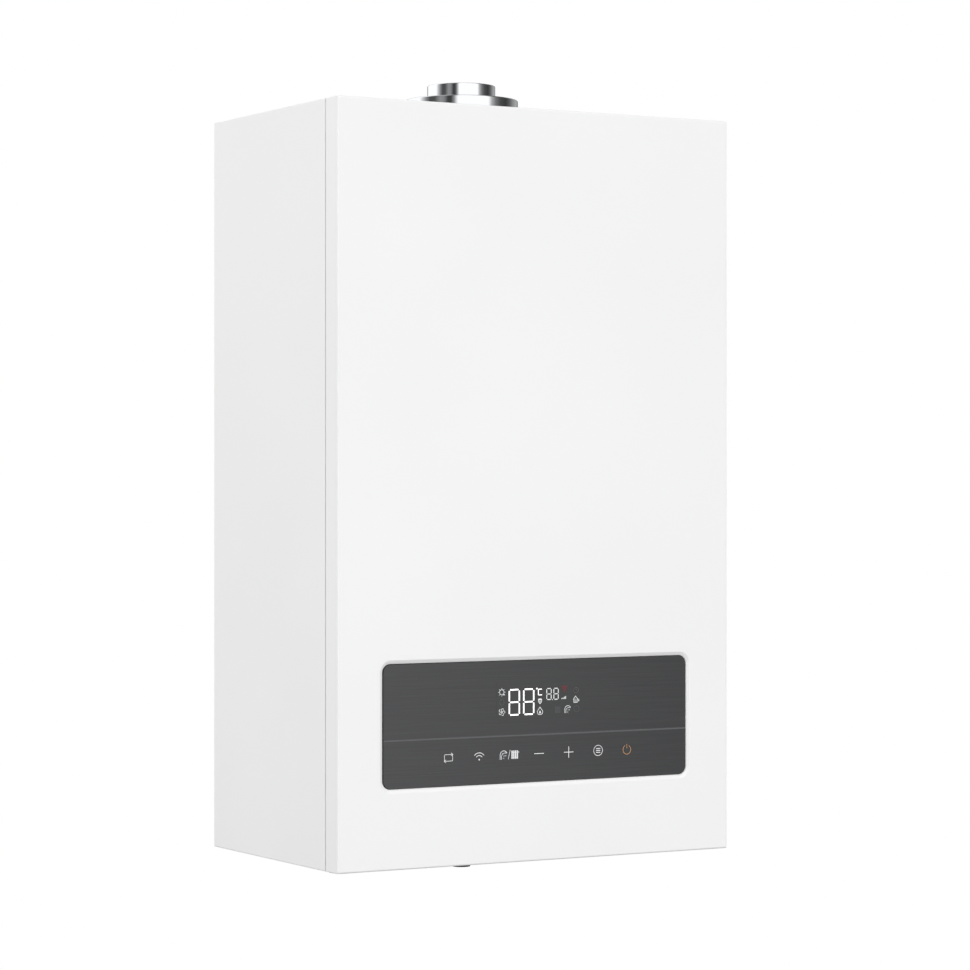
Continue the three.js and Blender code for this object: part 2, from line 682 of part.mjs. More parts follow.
const STANDOFF_X = BOX_HALF - BOX_WALL - 2 * STANDOFF_RADIUS;
const STANDOFF_ROWS = [BOX_BOTTOM, BOX_TOP].map((z, i) => z + (1 - 2 * i) * (BOX_WALL + 2 * STANDOFF_RADIUS));
const MAIN_BOARD_Y = BOX_FRONT_Y + BOX_WALL + STANDOFF;

function controlBox() {
  const outside = block([-BOX_HALF, BOX_HALF], [BOX_FRONT_Y, BOX_REAR_Y], [BOX_BOTTOM, BOX_TOP]);
  const inside = block([-BOX_HALF + BOX_WALL, BOX_HALF - BOX_WALL],
    [BOX_FRONT_Y + BOX_WALL, BOX_REAR_Y + BOX_WALL], [BOX_BOTTOM + BOX_WALL, BOX_TOP - BOX_WALL]);
  const standoffs = SIDES.flatMap(([, sign]) => STANDOFF_ROWS.map((z) => rod(
    'y', [sign * STANDOFF_X, 0, z], STANDOFF_RADIUS, BOX_FRONT_Y, MAIN_BOARD_Y, 8)));
  const lugs = SIDES.flatMap(([, sign]) => {
    const across = span(sign, BOX_HALF - LUG_THICKNESS, BOX_HALF);
    return [
      block(across, [HINGE_Y - LUG_RADIUS, HINGE_Y + LUG_RADIUS], [HINGE_Z, BOX_BOTTOM + BOX_WALL]),
      rod('x', [0, HINGE_Y, HINGE_Z], LUG_RADIUS, ...across, 16),
    ];
  });
  const pinHole = rod('x', [0, HINGE_Y, HINGE_Z], HINGE_PIN + SEAT, -CASE_WIDTH, CASE_WIDTH, 12);
  return carve(weld(carve(outside, inside), ...standoffs, ...lugs), pinHole);
}
place('control_box', 'grey_plastic', controlBox());

place('control_box_lid', 'grey_plastic', slab('y',
  rectangle([BOX_BOTTOM, BOX_TOP], [-BOX_HALF, BOX_HALF]), BOX_REAR_Y, BOX_REAR_Y + BOX_WALL));

function mainBoard() {
  const halfWidth = BOX_HALF - BOX_WALL - STANDOFF_RADIUS;
  const bottom = BOX_BOTTOM + BOX_WALL + STANDOFF_RADIUS;
  const top = BOX_TOP - BOX_WALL - STANDOFF_RADIUS;
  const face = MAIN_BOARD_Y + BOARD;
  const share = halfWidth / 4;
  const components = [-3, -1, 1, 2.5].map((place, i) => block(
    [share * place - share / 3, share * place + share / 3],
    [MAIN_BOARD_Y, face + COMPONENT_HEIGHT * (1 - i / 6)],
    [bottom + share / 2, bottom + share]));
  return weld(
    block([-halfWidth, halfWidth], [MAIN_BOARD_Y, face], [bottom, top]), ...components);
}
place('main_board', 'circuit_board', mainBoard());

SIDES.forEach(([side, sign]) => {
  const outer = BOX_HALF + SEAT + TAB_SHEET;
  const from = sign * (BOX_HALF - LUG_THICKNESS);
  const head = sign * outer;
  const end = sign * (outer + TAB_SHEET);
  const profile = [[0, from], [HINGE_PIN, from], [HINGE_PIN, head], [HINGE_HEAD, head],
    [HINGE_HEAD, end], [0, end]];
  place(`hinge_pin_${side}`, 'stainless', turned('x', [0, HINGE_Y, HINGE_Z], profile, 12));
});

// ---------------------------------------------------------------- flue outlet

const FLUE_AXIS = [0, FLUE_Y, 0];

place('flue_spigot', 'polished', ring('z', FLUE_AXIS, SPIGOT_RADIUS, SPIGOT_RADIUS - SPIGOT_WALL,
  CASE_HEIGHT - SPIGOT_DROP, CASE_HEIGHT + SPIGOT_RISE, BIG_ROUND));

function flueCollar() {
  const top = CASE_HEIGHT + COLLAR_RISE;
  const inner = COLLAR_RADIUS - COLLAR_WALL;
  const flangeTop = CASE_HEIGHT + COLLAR_FLANGE_THICKNESS;
  return turned('z', FLUE_AXIS, [
    [inner, CASE_HEIGHT], [COLLAR_FLANGE, CASE_HEIGHT], [COLLAR_FLANGE, flangeTop],
    [COLLAR_RADIUS, flangeTop], [COLLAR_RADIUS, top - COLLAR_WALL],
    [COLLAR_RADIUS - COLLAR_WALL, top], [COLLAR_RADIUS - COLLAR_WALL - COLLAR_LIP, top],
    [COLLAR_RADIUS - COLLAR_WALL - COLLAR_LIP, top - COLLAR_WALL], [inner, top - COLLAR_WALL],
    [inner, CASE_HEIGHT],
  ], BIG_ROUND);
}
place('flue_collar', 'polished', flueCollar());

// ---------------------------------------------------------------- fan

const FAN_FRONT_Y = FLUE_Y - FAN_WIDTH / 2;
const FAN_REAR_Y = FLUE_Y + FAN_WIDTH / 2;
const FAN_AXIS = [0, 0, FAN_HEIGHT];

// A spiral about the fan's axis, given as (z, x), that grows steadily with the turn.
function voluteOutline(inset) {
  const steps = BIG_ROUND;
  return Array.from({ length: steps }, (_, i) => {
    const turn = 2 * Math.PI * i / steps;
    const radius = VOLUTE_RADIUS + VOLUTE_GROWTH * i / steps - VOLUTE_GROWTH / 2 - inset;
    return point(FAN_HEIGHT + radius * Math.cos(turn), radius * Math.sin(turn));
  });
}

function fanHousing() {
  const neckTop = CASE_HEIGHT;
  const shell = weld(
    slab('y', voluteOutline(0), FAN_FRONT_Y, FAN_REAR_Y),
    rod('z', FLUE_AXIS, FAN_NECK, FAN_HEIGHT, neckTop));
  return carve(shell,
    slab('y', voluteOutline(VOLUTE_WALL), FAN_FRONT_Y + VOLUTE_WALL, FAN_REAR_Y - VOLUTE_WALL),
    rod('z', FLUE_AXIS, FAN_NECK - VOLUTE_WALL, FAN_HEIGHT, neckTop + VOLUTE_WALL),
    rod('y', FAN_AXIS, FAN_INLET, FLUE_Y, FAN_REAR_Y + VOLUTE_WALL),
    rod('y', FAN_AXIS, FAN_SHAFT + RUN, FAN_FRONT_Y - VOLUTE_WALL, FLUE_Y, 12));
}
place('fan_housing', 'aluminium', fanHousing());

const IMPELLER_FRONT_Y = FLUE_Y - IMPELLER_WIDTH / 2;

function fanImpeller() {
  const back = IMPELLER_FRONT_Y + VOLUTE_WALL;
  const rear = IMPELLER_FRONT_Y + IMPELLER_WIDTH;
  const blades = Array.from({ length: IMPELLER_BLADES }, (_, i) => block(
    [IMPELLER_RADIUS - BLADE_LENGTH, IMPELLER_RADIUS - BLADE_THICKNESS],
    [IMPELLER_FRONT_Y, rear],
    [-BLADE_THICKNESS / 2, BLADE_THICKNESS / 2])
    .rotateY(2 * Math.PI * i / IMPELLER_BLADES).translate(0, 0, FAN_HEIGHT));
  const disc = rod('y', FAN_AXIS, IMPELLER_RADIUS, IMPELLER_FRONT_Y, back);
  const hub = rod('y', FAN_AXIS, 2 * FAN_SHAFT, IMPELLER_FRONT_Y, FLUE_Y, 12);
  const bore = rod('y', FAN_AXIS, FAN_SHAFT + SEAT, FAN_FRONT_Y, FLUE_Y - 2 * VOLUTE_WALL, 12);
  return carve(weld(disc, hub, ...blades), bore);
}
place('fan_impeller', 'aluminium', fanImpeller());

const FAN_SHAFT_END = FLUE_Y - 3 * VOLUTE_WALL;
place('fan_motor', 'black_plastic', turned('y', FAN_AXIS, [
  [0, FAN_FRONT_Y - FAN_MOTOR_LENGTH], [FAN_MOTOR_RADIUS - 2 * VOLUTE_WALL, FAN_FRONT_Y - FAN_MOTOR_LENGTH],
  [FAN_MOTOR_RADIUS, FAN_FRONT_Y - FAN_MOTOR_LENGTH + 2 * VOLUTE_WALL], [FAN_MOTOR_RADIUS, FAN_FRONT_Y],
  [FAN_SHAFT, FAN_FRONT_Y], [FAN_SHAFT, FAN_SHAFT_END], [0, FAN_SHAFT_END],
]));

// ---------------------------------------------------------------- hood, exchanger and chamber

const HOOD_TOP = CHAMBER_TOP + HOOD_HEIGHT;

// A straight-sided hood over the chamber, with a duct up behind the fan that feeds its inlet.
function flueHood() {
  const front = -CHAMBER_FRONT;
  const ductBack = -HOOD_DUCT_BACK;
  const ductFront = FAN_REAR_Y + SEAT;
  const ductTop = CHAMBER_TOP + HOOD_DUCT_HEIGHT;
  const side = (wall) => [
    point(front + wall, CHAMBER_TOP - (wall ? 1 : 0)),
    point(-CHAMBER_BACK - wall, CHAMBER_TOP - (wall ? 1 : 0)),
    point(-CHAMBER_BACK - wall, CHAMBER_TOP + wall),
    point(ductBack - wall, CHAMBER_TOP + HOOD_HEIGHT / 2 + wall),
    point(ductBack - wall, HOOD_TOP - wall),
    point(front / 2 - CHAMBER_BACK / 2, HOOD_TOP - wall),
    point(front + wall, CHAMBER_TOP + HOOD_HEIGHT / 2 - wall),
  ];
  const half = CHAMBER_HALF;
  const duct = (wall) => block(
    [-HOOD_DUCT_WIDTH / 2 + wall, HOOD_DUCT_WIDTH / 2 - wall], [ductFront + wall, ductBack - wall],
    [HOOD_TOP - 2 * HOOD_WALL - wall, ductTop - wall]);
  return carve(weld(slab('x', side(0), -half, half), duct(0)),
    slab('x', side(HOOD_WALL), -half + HOOD_WALL, half - HOOD_WALL),
    duct(HOOD_WALL),
    rod('y', FAN_AXIS, FAN_INLET, ductFront - HOOD_WALL, ductFront + 2 * HOOD_WALL));
}
place('flue_hood', 'aluminium', flueHood());

const TUBE_ROWS = Array.from({ length: TUBE_COUNT }, (_, i) => TUBE_FRONT_Y + i * TUBE_PITCH);

function heatExchanger() {
  const half = CHAMBER_HALF - CHAMBER_SHEET - RUN;
  const count = Math.floor((2 * half - FIN_THICKNESS) / FIN_PITCH) + 1;
  const first = -(count - 1) * FIN_PITCH / 2;
  const across = Array.from({ length: count }, (_, i) => first + i * FIN_PITCH);
  const [low, high] = [FIN_BOTTOM, FIN_BOTTOM + FIN_PACK_HEIGHT];
  const [coreLow, coreHigh] = [TUBE_Z - FIN_CORE / 2, TUBE_Z + FIN_CORE / 2];
  const comb = (outer, inner) => across.flatMap((x) => [
    point(inner, x - FIN_THICKNESS / 2), point(outer, x - FIN_THICKNESS / 2),
    point(outer, x + FIN_THICKNESS / 2), point(inner, x + FIN_THICKNESS / 2)]);
  const outline = [...comb(low, coreLow), ...comb(high, coreHigh).reverse()];
  const depth = [-CHAMBER_FRONT + SHEET, -CHAMBER_BACK - CHAMBER_SHEET - RUN];
  const fins = slab('y', outline, ...depth);
  const tubes = TUBE_ROWS.map((y) => rod('x', [0, y, TUBE_Z], TUBE_RADIUS, -TUBE_END, TUBE_END, 12));
  const bends = TUBE_ROWS.slice(1).map((y, i) => {
    const sign = i % 2 ? -1 : 1;
    const edge = sign * (TUBE_END - TUBE_RADIUS);
    const out = sign * (TUBE_END + TUBE_RADIUS);
    return pipe([[edge, y - TUBE_PITCH, TUBE_Z], [out, y - TUBE_PITCH, TUBE_Z], [out, y, TUBE_Z],
      [edge, y, TUBE_Z]], TUBE_RADIUS, TUBE_PITCH / 2);
  });
  return weld(fins, ...tubes, ...bends);
}
place('heat_exchanger', 'copper', heatExchanger());

function combustionChamber() {
  const half = CHAMBER_HALF;
  const inner = half - CHAMBER_SHEET;
  const outline = [
    point(-half, -CHAMBER_FRONT), point(-inner, -CHAMBER_FRONT),
    point(-inner, -CHAMBER_BACK - CHAMBER_SHEET), point(inner, -CHAMBER_BACK - CHAMBER_SHEET),
    point(inner, -CHAMBER_FRONT), point(half, -CHAMBER_FRONT),
    point(half, -CHAMBER_BACK), point(-half, -CHAMBER_BACK),
  ];
  const tubeSlots = TUBE_ROWS.map((y) => block([-CASE_WIDTH, CASE_WIDTH],
    [y - TUBE_RADIUS - SEAT, y + TUBE_RADIUS + SEAT], [TUBE_Z - TUBE_RADIUS - SEAT, CHAMBER_TOP + 1]));
  return carve(slab('z', outline, CHAMBER_BOTTOM, CHAMBER_TOP), ...tubeSlots);
}
place('combustion_chamber', 'stainless', combustionChamber());

const IGNITION_PAIR = [IGNITION_X - IGNITION_SPACING / 2, IGNITION_X + IGNITION_SPACING / 2];
const CHAMBER_COVER_Y = -CHAMBER_FRONT - CHAMBER_SHEET;

function chamberCover() {
  const holes = [...IGNITION_PAIR, FLAME_SENSOR_X].map((x) => circle([ELECTRODE_Z, x], ELECTRODE_TIP + RUN, 8));
  holes.push(circle([CHAMBER_BOTTOM + SIGHT_HEIGHT, SIGHT_X], SIGHT_GLASS - CHAMBER_SHEET, 16));
  return slab('y', rectangle([CHAMBER_BOTTOM, CHAMBER_TOP], [-CHAMBER_HALF, CHAMBER_HALF]),
    CHAMBER_COVER_Y, -CHAMBER_FRONT, holes);
}
place('chamber_cover', 'stainless', chamberCover());

place('sight_glass', 'glass', rod('y', [SIGHT_X, 0, CHAMBER_BOTTOM + SIGHT_HEIGHT], SIGHT_GLASS,
  CHAMBER_COVER_Y - SIGHT_GLASS_THICKNESS, CHAMBER_COVER_Y, 16));

// A ceramic rod with a wire tip that reaches in over the burner.
function electrode(x) {
  return turned('y', [x, 0, ELECTRODE_Z], [
    [0, CHAMBER_COVER_Y - ELECTRODE_LENGTH], [ELECTRODE_RADIUS, CHAMBER_COVER_Y - ELECTRODE_LENGTH],
    [ELECTRODE_RADIUS, CHAMBER_COVER_Y], [ELECTRODE_TIP, CHAMBER_COVER_Y],
    [ELECTRODE_TIP, CHAMBER_COVER_Y + ELECTRODE_REACH], [0, CHAMBER_COVER_Y + ELECTRODE_REACH],
  ], 10);
}
place('flame_sensor', 'ceramic', electrode(FLAME_SENSOR_X));

place('ignition_electrodes', 'ceramic', weld(...IGNITION_PAIR.map(electrode), block(
  IGNITION_PAIR, [CHAMBER_COVER_Y - SHEET, CHAMBER_COVER_Y],
  [ELECTRODE_Z - ELECTRODE_RADIUS, ELECTRODE_Z + ELECTRODE_RADIUS])));

const BOARD_BOTTOM = ELECTRODE_Z + 2 * ELECTRODE_RADIUS;
const BOARD_TOP = CHAMBER_BOTTOM + INSULATION_HEIGHT;
const LINED_HALF = CHAMBER_HALF - CHAMBER_SHEET;
const LINED_BACK = -CHAMBER_BACK - CHAMBER_SHEET;
const LINED_FRONT = -CHAMBER_FRONT;
const SIGHT_RECESS = rod('y', [SIGHT_X, 0, CHAMBER_BOTTOM + SIGHT_HEIGHT], SIGHT_GLASS,
  LINED_FRONT - 1, LINED_FRONT + 2 * INSULATION, 16);

// The ceramic liner: four walls inside the chamber, with a recess behind the sight glass.
function insulationLiner() {
  const outline = rectangle([-LINED_HALF, LINED_HALF], [LINED_FRONT, LINED_BACK]);
  const inside = rectangle([-LINED_HALF + INSULATION, LINED_HALF - INSULATION],
    [LINED_FRONT + INSULATION, LINED_BACK - INSULATION]);
  return carve(slab('z', outline, BOARD_BOTTOM, BOARD_TOP, [inside]), SIGHT_RECESS);
}
place('insulation_liner', 'ceramic', insulationLiner());

SIDES.forEach(([side, sign]) => {
  const middle = -(CHAMBER_FRONT + CHAMBER_BACK) / 2;
  const [near, far] = [middle - CHAMBER_ARM_DEPTH / 2, middle + CHAMBER_ARM_DEPTH / 2];
  const level = [CHAMBER_ARM_Z, CHAMBER_ARM_Z + SHEET];
  const upright = [CHAMBER_ARM_Z, CHAMBER_ARM_Z + CHAMBER_ARM_HEIGHT];
  place(`chamber_arm_${side}`, 'galvanised', weld(
    block(span(sign, CHAMBER_HALF, INNER_HALF), [near, far], level),
    block(span(sign, CHAMBER_HALF, CHAMBER_HALF + SHEET), [near, far], upright),
    block(span(sign, INNER_HALF - SHEET, INNER_HALF), [near, far], upright)));
});

// ---------------------------------------------------------------- burner and gas line

function burner() {
  const base = BURNER_BOTTOM + BURNER_BASE;
  const top = BURNER_BOTTOM + BURNER_HEIGHT;
  const first = -(BURNER_BLADES - 1) * BURNER_PITCH / 2;
  const half = CHAMBER_HALF;
  const teeth = Array.from({ length: BURNER_BLADES }, (_, i) => first + i * BURNER_PITCH)
    .flatMap((x) => [
      point(base, x - BURNER_BLADE / 2), point(top, x - BURNER_BLADE / 4),
      point(top, x + BURNER_BLADE / 4), point(base, x + BURNER_BLADE / 2)]);
  const outline = [
    ...teeth, point(base, half - SHEET), point(CHAMBER_BOTTOM, half - SHEET),
    point(CHAMBER_BOTTOM, half), point(BURNER_BOTTOM, half), point(BURNER_BOTTOM, -half),
    point(CHAMBER_BOTTOM, -half), point(CHAMBER_BOTTOM, -half + SHEET), point(base, -half + SHEET),
  ];
  return slab('y', outline, -CHAMBER_FRONT + BURNER_MARGIN, -CHAMBER_BACK - BURNER_MARGIN);
}
place('burner', 'stainless', burner());

const BAR_Y = FRONT_Y + NOZZLE_BAR_FROM_FRONT;

function nozzleBar() {
  const reach = BURNER_PITCH * BURNER_BLADES / 2;
  const first = -(BURNER_BLADES - 1) * BURNER_PITCH / 2;
  const bar = rod('x', [0, BAR_Y, NOZZLE_BAR_Z], NOZZLE_BAR_RADIUS, -reach, reach, 12);
  const nozzles = Array.from({ length: BURNER_BLADES }, (_, i) => rod(
    'y', [first + i * BURNER_PITCH, 0, NOZZLE_BAR_Z], NOZZLE_RADIUS, BAR_Y,
    BAR_Y + NOZZLE_BAR_RADIUS + NOZZLE_LENGTH, 6));
  const plates = SIDES.map(([, sign]) => block(
    span(sign, reach - SHEET, CHAMBER_HALF + SHEET + SEAT),
    [BAR_Y, BAR_Y + SHEET], [NOZZLE_BAR_Z - NOZZLE_RADIUS, NOZZLE_BAR_Z + NOZZLE_RADIUS]));
  const ears = SIDES.map(([, sign]) => block(
    span(sign, CHAMBER_HALF + SEAT, CHAMBER_HALF + SHEET + SEAT),
    [BAR_Y, -CHAMBER_FRONT + 2 * BURNER_MARGIN],
    [NOZZLE_BAR_Z - NOZZLE_RADIUS, NOZZLE_BAR_Z + NOZZLE_RADIUS]));
  return weld(bar, ...nozzles, ...plates, ...ears);
}
place('nozzle_bar', 'aluminium', nozzleBar());

const VALVE_TOP = GAS_VALVE_BOTTOM + GAS_VALVE_HEIGHT;
const VALVE_MIDDLE_Y = -(GAS_VALVE_FRONT + GAS_VALVE_BACK) / 2;

place('gas_valve', 'aluminium', weld(
  block([-GAS_VALVE_HALF_WIDTH, GAS_VALVE_HALF_WIDTH], [-GAS_VALVE_FRONT, -GAS_VALVE_BACK],
    [GAS_VALVE_BOTTOM, VALVE_TOP - NUT_HEIGHT]),
  rod('z', [0, VALVE_MIDDLE_Y, 0], GAS_RADIUS + NUT_MARGIN, GAS_VALVE_BOTTOM, VALVE_TOP, 6),
  rod('x', [0, VALVE_MIDDLE_Y, (GAS_VALVE_BOTTOM + VALVE_TOP) / 2], COIL_RADIUS,
    -GAS_VALVE_HALF_WIDTH - NUT_MARGIN, GAS_VALVE_HALF_WIDTH + NUT_MARGIN, 16),
  rod('y', [0, 0, (GAS_VALVE_BOTTOM + VALVE_TOP) / 2], COIL_RADIUS,
    -GAS_VALVE_FRONT - COIL_LENGTH, VALVE_MIDDLE_Y, 16)));

place('gas_pipe', 'copper', pipe([
  [0, VALVE_MIDDLE_Y, VALVE_TOP + SEAT], [0, VALVE_MIDDLE_Y, GAS_PIPE_LEVEL],
  [0, BAR_Y, GAS_PIPE_LEVEL], [0, BAR_Y, NOZZLE_BAR_Z - NOZZLE_BAR_RADIUS - SEAT],
], PIPE_RADIUS - 1, PIPE_BEND / 1.5));

// ---------------------------------------------------------------- bottom connections

// A fitting through the bottom panel: a threaded tail with a blind bore, a nut and a neck.
function connection({ radius, drop }, top, bore = BORE_DEPTH) {
  const inner = radius - CONNECTION_WALL;
  return [
    [inner, -drop], [radius, -drop], [radius, SHEET], [radius + NUT_MARGIN, SHEET],
    [radius + NUT_MARGIN, SHEET + NUT_HEIGHT], [radius, SHEET + NUT_HEIGHT], [radius, top], [0, top],
    [0, bore], [inner, bore], [inner, -drop],
  ];
}

const TURBINE_TOP = BORE_DEPTH - 4;

CONNECTIONS.forEach((fitting) => {
  const top = fitting.name === 'gas_connection' ? GAS_VALVE_BOTTOM : BLOCK_BOTTOM;
  const tail = turned('z', [fitting.x, CONNECTION_Y, 0], connection(fitting, top));
  const axle = rod('z', [fitting.x, CONNECTION_Y, 0], TURBINE_AXLE,
    TURBINE_TOP - TURBINE_HEIGHT, BORE_DEPTH + SEAT, 8);
  const collar = rod('z', [fitting.x, CONNECTION_Y, 0], TURBINE_HUB,
    TURBINE_TOP + SEAT, BORE_DEPTH + SEAT, 8);
  const shape = fitting.name === 'cold_water_connection' ? weld(tail, axle, collar) : tail;
  place(fitting.name, fitting.name === 'gas_connection' ? 'blackened' : 'brass', shape);
});

function flowTurbine() {
  const centre = [CONNECTION_PITCH, CONNECTION_Y, 0];
  const level = [TURBINE_TOP - TURBINE_HEIGHT, TURBINE_TOP];
  const vanes = Array.from({ length: TURBINE_VANES }, (_, i) => block(
    [TURBINE_AXLE + SEAT, TURBINE_RADIUS], [-TURBINE_AXLE / 2, TURBINE_AXLE / 2], level)
    .rotateZ(2 * Math.PI * i / TURBINE_VANES).translate(CONNECTION_PITCH, CONNECTION_Y, 0));
  const bore = rod('z', centre, TURBINE_AXLE + SEAT, level[0] - 1, level[1] + 1, 10);
  return carve(weld(rod('z', centre, TURBINE_HUB, ...level, 10), ...vanes), bore);
}
place('flow_turbine', 'black_plastic', flowTurbine());

place('cable_gland', 'black_plastic', turned('z', [GLAND_X, -GLAND_FROM_WALL, 0], [
  [GLAND_BORE, -GLAND_DROP], [GLAND_RADIUS, -GLAND_DROP], [GLAND_RADIUS, SHEET],
  [GLAND_RADIUS + NUT_MARGIN, SHEET], [GLAND_RADIUS + NUT_MARGIN, SHEET + NUT_HEIGHT],
  [GLAND_BORE, SHEET + NUT_HEIGHT], [GLAND_BORE, -GLAND_DROP],
], 16));

// ---------------------------------------------------------------- hydraulics

// A brass block with chamfered long edges, as an outline across x.
function hydraulicBlock(sign) {
  const [front, back] = [-BLOCK_FRONT, -BLOCK_BACK];
  const outline = [
    point(front + BLOCK_CHAMFER, BLOCK_BOTTOM), point(back, BLOCK_BOTTOM), point(back, BLOCK_TOP),
    point(front + BLOCK_CHAMFER, BLOCK_TOP), point(front, BLOCK_TOP - BLOCK_CHAMFER),
    point(front, BLOCK_BOTTOM + BLOCK_CHAMFER),
  ];
  return slab('x', outline, ...span(sign, BLOCK_INNER, BLOCK_OUTER));
}

const DIVERTER_Y = -(BLOCK_FRONT + BLOCK_BACK) / 2;
const STEM_LOW = BLOCK_TOP - STEM_TRAVEL - STEM_ENGAGED;
const DIVERTER_BOTTOM = BLOCK_TOP + DIVERTER_LEGS;
const STEM_HIGH = DIVERTER_BOTTOM + STEM_TRAVEL + STEM_ENGAGED;
const DIVERTER_AXIS = [DIVERTER_X, DIVERTER_Y, 0];

place('flow_block', 'brass', carve(hydraulicBlock(-1), rod('z', DIVERTER_AXIS, STEM_RADIUS + SEAT,
  STEM_LOW - STEM_TRAVEL - RUN, BLOCK_TOP + 1, 12)));
place('return_block', 'brass', carve(hydraulicBlock(1), rod('z', [TAP_X, CONNECTION_Y, 0],
  TAP_STEM + SEAT, BLOCK_BOTTOM - 1, BLOCK_BOTTOM + STEM_ENGAGED + SEAT, 12)));

place('diverter_stem', 'stainless', rod('z', DIVERTER_AXIS, STEM_RADIUS, STEM_LOW, STEM_HIGH, 12));

function diverterMotor() {
  const half = DIVERTER_MOTOR_WIDTH / 2;
  const [x, y] = DIVERTER_AXIS;
  const body = block([x - half, x + half], [y - half, y + half],
    [DIVERTER_BOTTOM, DIVERTER_BOTTOM + DIVERTER_MOTOR_HEIGHT]);
  const legs = [-1, 1].map((sign) => block(
    [x + sign * (half - DIVERTER_LEG_WIDTH / 2) - DIVERTER_LEG_WIDTH / 2,
      x + sign * (half - DIVERTER_LEG_WIDTH / 2) + DIVERTER_LEG_WIDTH / 2],
    [y - half / 2, y + half / 2], [BLOCK_TOP, DIVERTER_BOTTOM + SHEET]));
  const bore = rod('z', DIVERTER_AXIS, STEM_RADIUS + SEAT, DIVERTER_BOTTOM - 1, STEM_HIGH + RUN, 12);
  return carve(weld(body, ...legs), bore);
}
place('diverter_motor', 'black_plastic', diverterMotor());

function plateExchanger() {
  const back = -BLOCK_BACK + PLATE_PORT_LENGTH + PLATE_STACK_DEPTH;
  const front = -BLOCK_BACK + PLATE_PORT_LENGTH;
  const low = BLOCK_BOTTOM;
  const high = BLOCK_BOTTOM + PLATE_STACK_HEIGHT;
  const pitch = PLATE_STACK_DEPTH / PLATE_COUNT;
  const steps = Array.from({ length: PLATE_COUNT }, (_, i) => front + i * pitch);
  const edge = (outer, inner) => steps.flatMap((y) => [
    point(y, outer), point(y + pitch / 2, outer), point(y + pitch / 2, inner), point(y + pitch, inner)]);
  const outline = [...edge(low, low + PLATE_EDGE), ...edge(high, high - PLATE_EDGE).reverse()];
  const stack = slab('x', outline, -PLATE_STACK_HALF_WIDTH, PLATE_STACK_HALF_WIDTH);
  const ports = SIDES.map(([, sign]) => rod('y',
    [sign * (PLATE_STACK_HALF_WIDTH - 2 * PLATE_PORT), 0, (BLOCK_BOTTOM + BLOCK_TOP) / 2],
    PLATE_PORT, -BLOCK_BACK, (front + back) / 2, 16));
  return weld(stack, ...ports);
}
place('plate_heat_exchanger', 'stainless', plateExchanger());

const PUMP_AXIS = [PUMP_X, 0, PUMP_HEIGHT];
const PUMP_NECK_Y = -(PUMP_BACK + PUMP_FRONT) / 2;
const PUMP_NECK_AXIS = [PUMP_X, PUMP_NECK_Y, 0];
const PUMP_TOP = PUMP_HEIGHT + PUMP_RADIUS + 2 * PUMP_WALL;
const CAVITY = PUMP_IMPELLER_RADIUS + 2 * RUN;
const IMPELLER_FRONT = -PUMP_FRONT + PUMP_WALL + RUN;

function pumpHousing() {
  const body = weld(
    rod('y', PUMP_AXIS, PUMP_RADIUS, -PUMP_FRONT, -PUMP_BACK),
    rod('z', PUMP_NECK_AXIS, PUMP_NECK, BLOCK_TOP, PUMP_TOP, 16));
  return carve(body,
    rod('y', PUMP_AXIS, CAVITY, -PUMP_FRONT + PUMP_WALL, -PUMP_FRONT + PUMP_WALL + 2 * PUMP_IMPELLER_WIDTH),
    rod('y', PUMP_AXIS, PUMP_SHAFT + RUN, -PUMP_FRONT - 1, -PUMP_FRONT + PUMP_WALL + 1, 12));
}
place('pump_housing', 'brass', pumpHousing());

function pumpImpeller() {
  const rear = IMPELLER_FRONT + PUMP_IMPELLER_WIDTH;
  const vanes = Array.from({ length: PUMP_VANES }, (_, i) => block(
    [PUMP_SHAFT, PUMP_IMPELLER_RADIUS - RUN], [IMPELLER_FRONT, rear], [-RUN, RUN])
    .rotateY(2 * Math.PI * i / PUMP_VANES).translate(...PUMP_AXIS));
  const disc = rod('y', PUMP_AXIS, PUMP_IMPELLER_RADIUS, IMPELLER_FRONT, IMPELLER_FRONT + PUMP_WALL);
  const hub = rod('y', PUMP_AXIS, 2 * PUMP_SHAFT, IMPELLER_FRONT, rear, 12);
  const bore = rod('y', PUMP_AXIS, PUMP_SHAFT + SEAT, IMPELLER_FRONT - 1, rear - PUMP_WALL, 12);
  return carve(weld(disc, hub, ...vanes), bore);
}
place('pump_impeller', 'black_plastic', pumpImpeller());

const PUMP_SHAFT_END = IMPELLER_FRONT + PUMP_IMPELLER_WIDTH - PUMP_WALL - SEAT;
place('pump_motor', 'black_plastic', turned('y', PUMP_AXIS, [
  [0, -PUMP_MOTOR_FRONT], [PUMP_MOTOR_RADIUS - 2 * PUMP_WALL, -PUMP_MOTOR_FRONT],
  [PUMP_MOTOR_RADIUS, -PUMP_MOTOR_FRONT + 2 * PUMP_WALL], [PUMP_MOTOR_RADIUS, -PUMP_FRONT],
  [PUMP_SHAFT, -PUMP_FRONT], [PUMP_SHAFT, PUMP_SHAFT_END], [0, PUMP_SHAFT_END],
]));

const SAFETY_AXIS = [SAFETY_X, 0, BLOCK_BOTTOM + SAFETY_UP_BLOCK];
const SAFETY_FRONT = -BLOCK_FRONT - SAFETY_LENGTH;
place('safety_valve', 'brass', rod('y', SAFETY_AXIS, SAFETY_RADIUS, SAFETY_FRONT, -BLOCK_FRONT, 16));

// A ribbed knob: a gear-like outline turned about its axis.
function knobOutline([a, b], radius, ribs) {
  return Array.from({ length: 4 * ribs }, (_, i) => {
    const turn = 2 * Math.PI * i / (4 * ribs);
    const reach = i % 4 < 2 ? radius : radius - RUN;
    return point(a + reach * Math.cos(turn), b + reach * Math.sin(turn));
  });
}

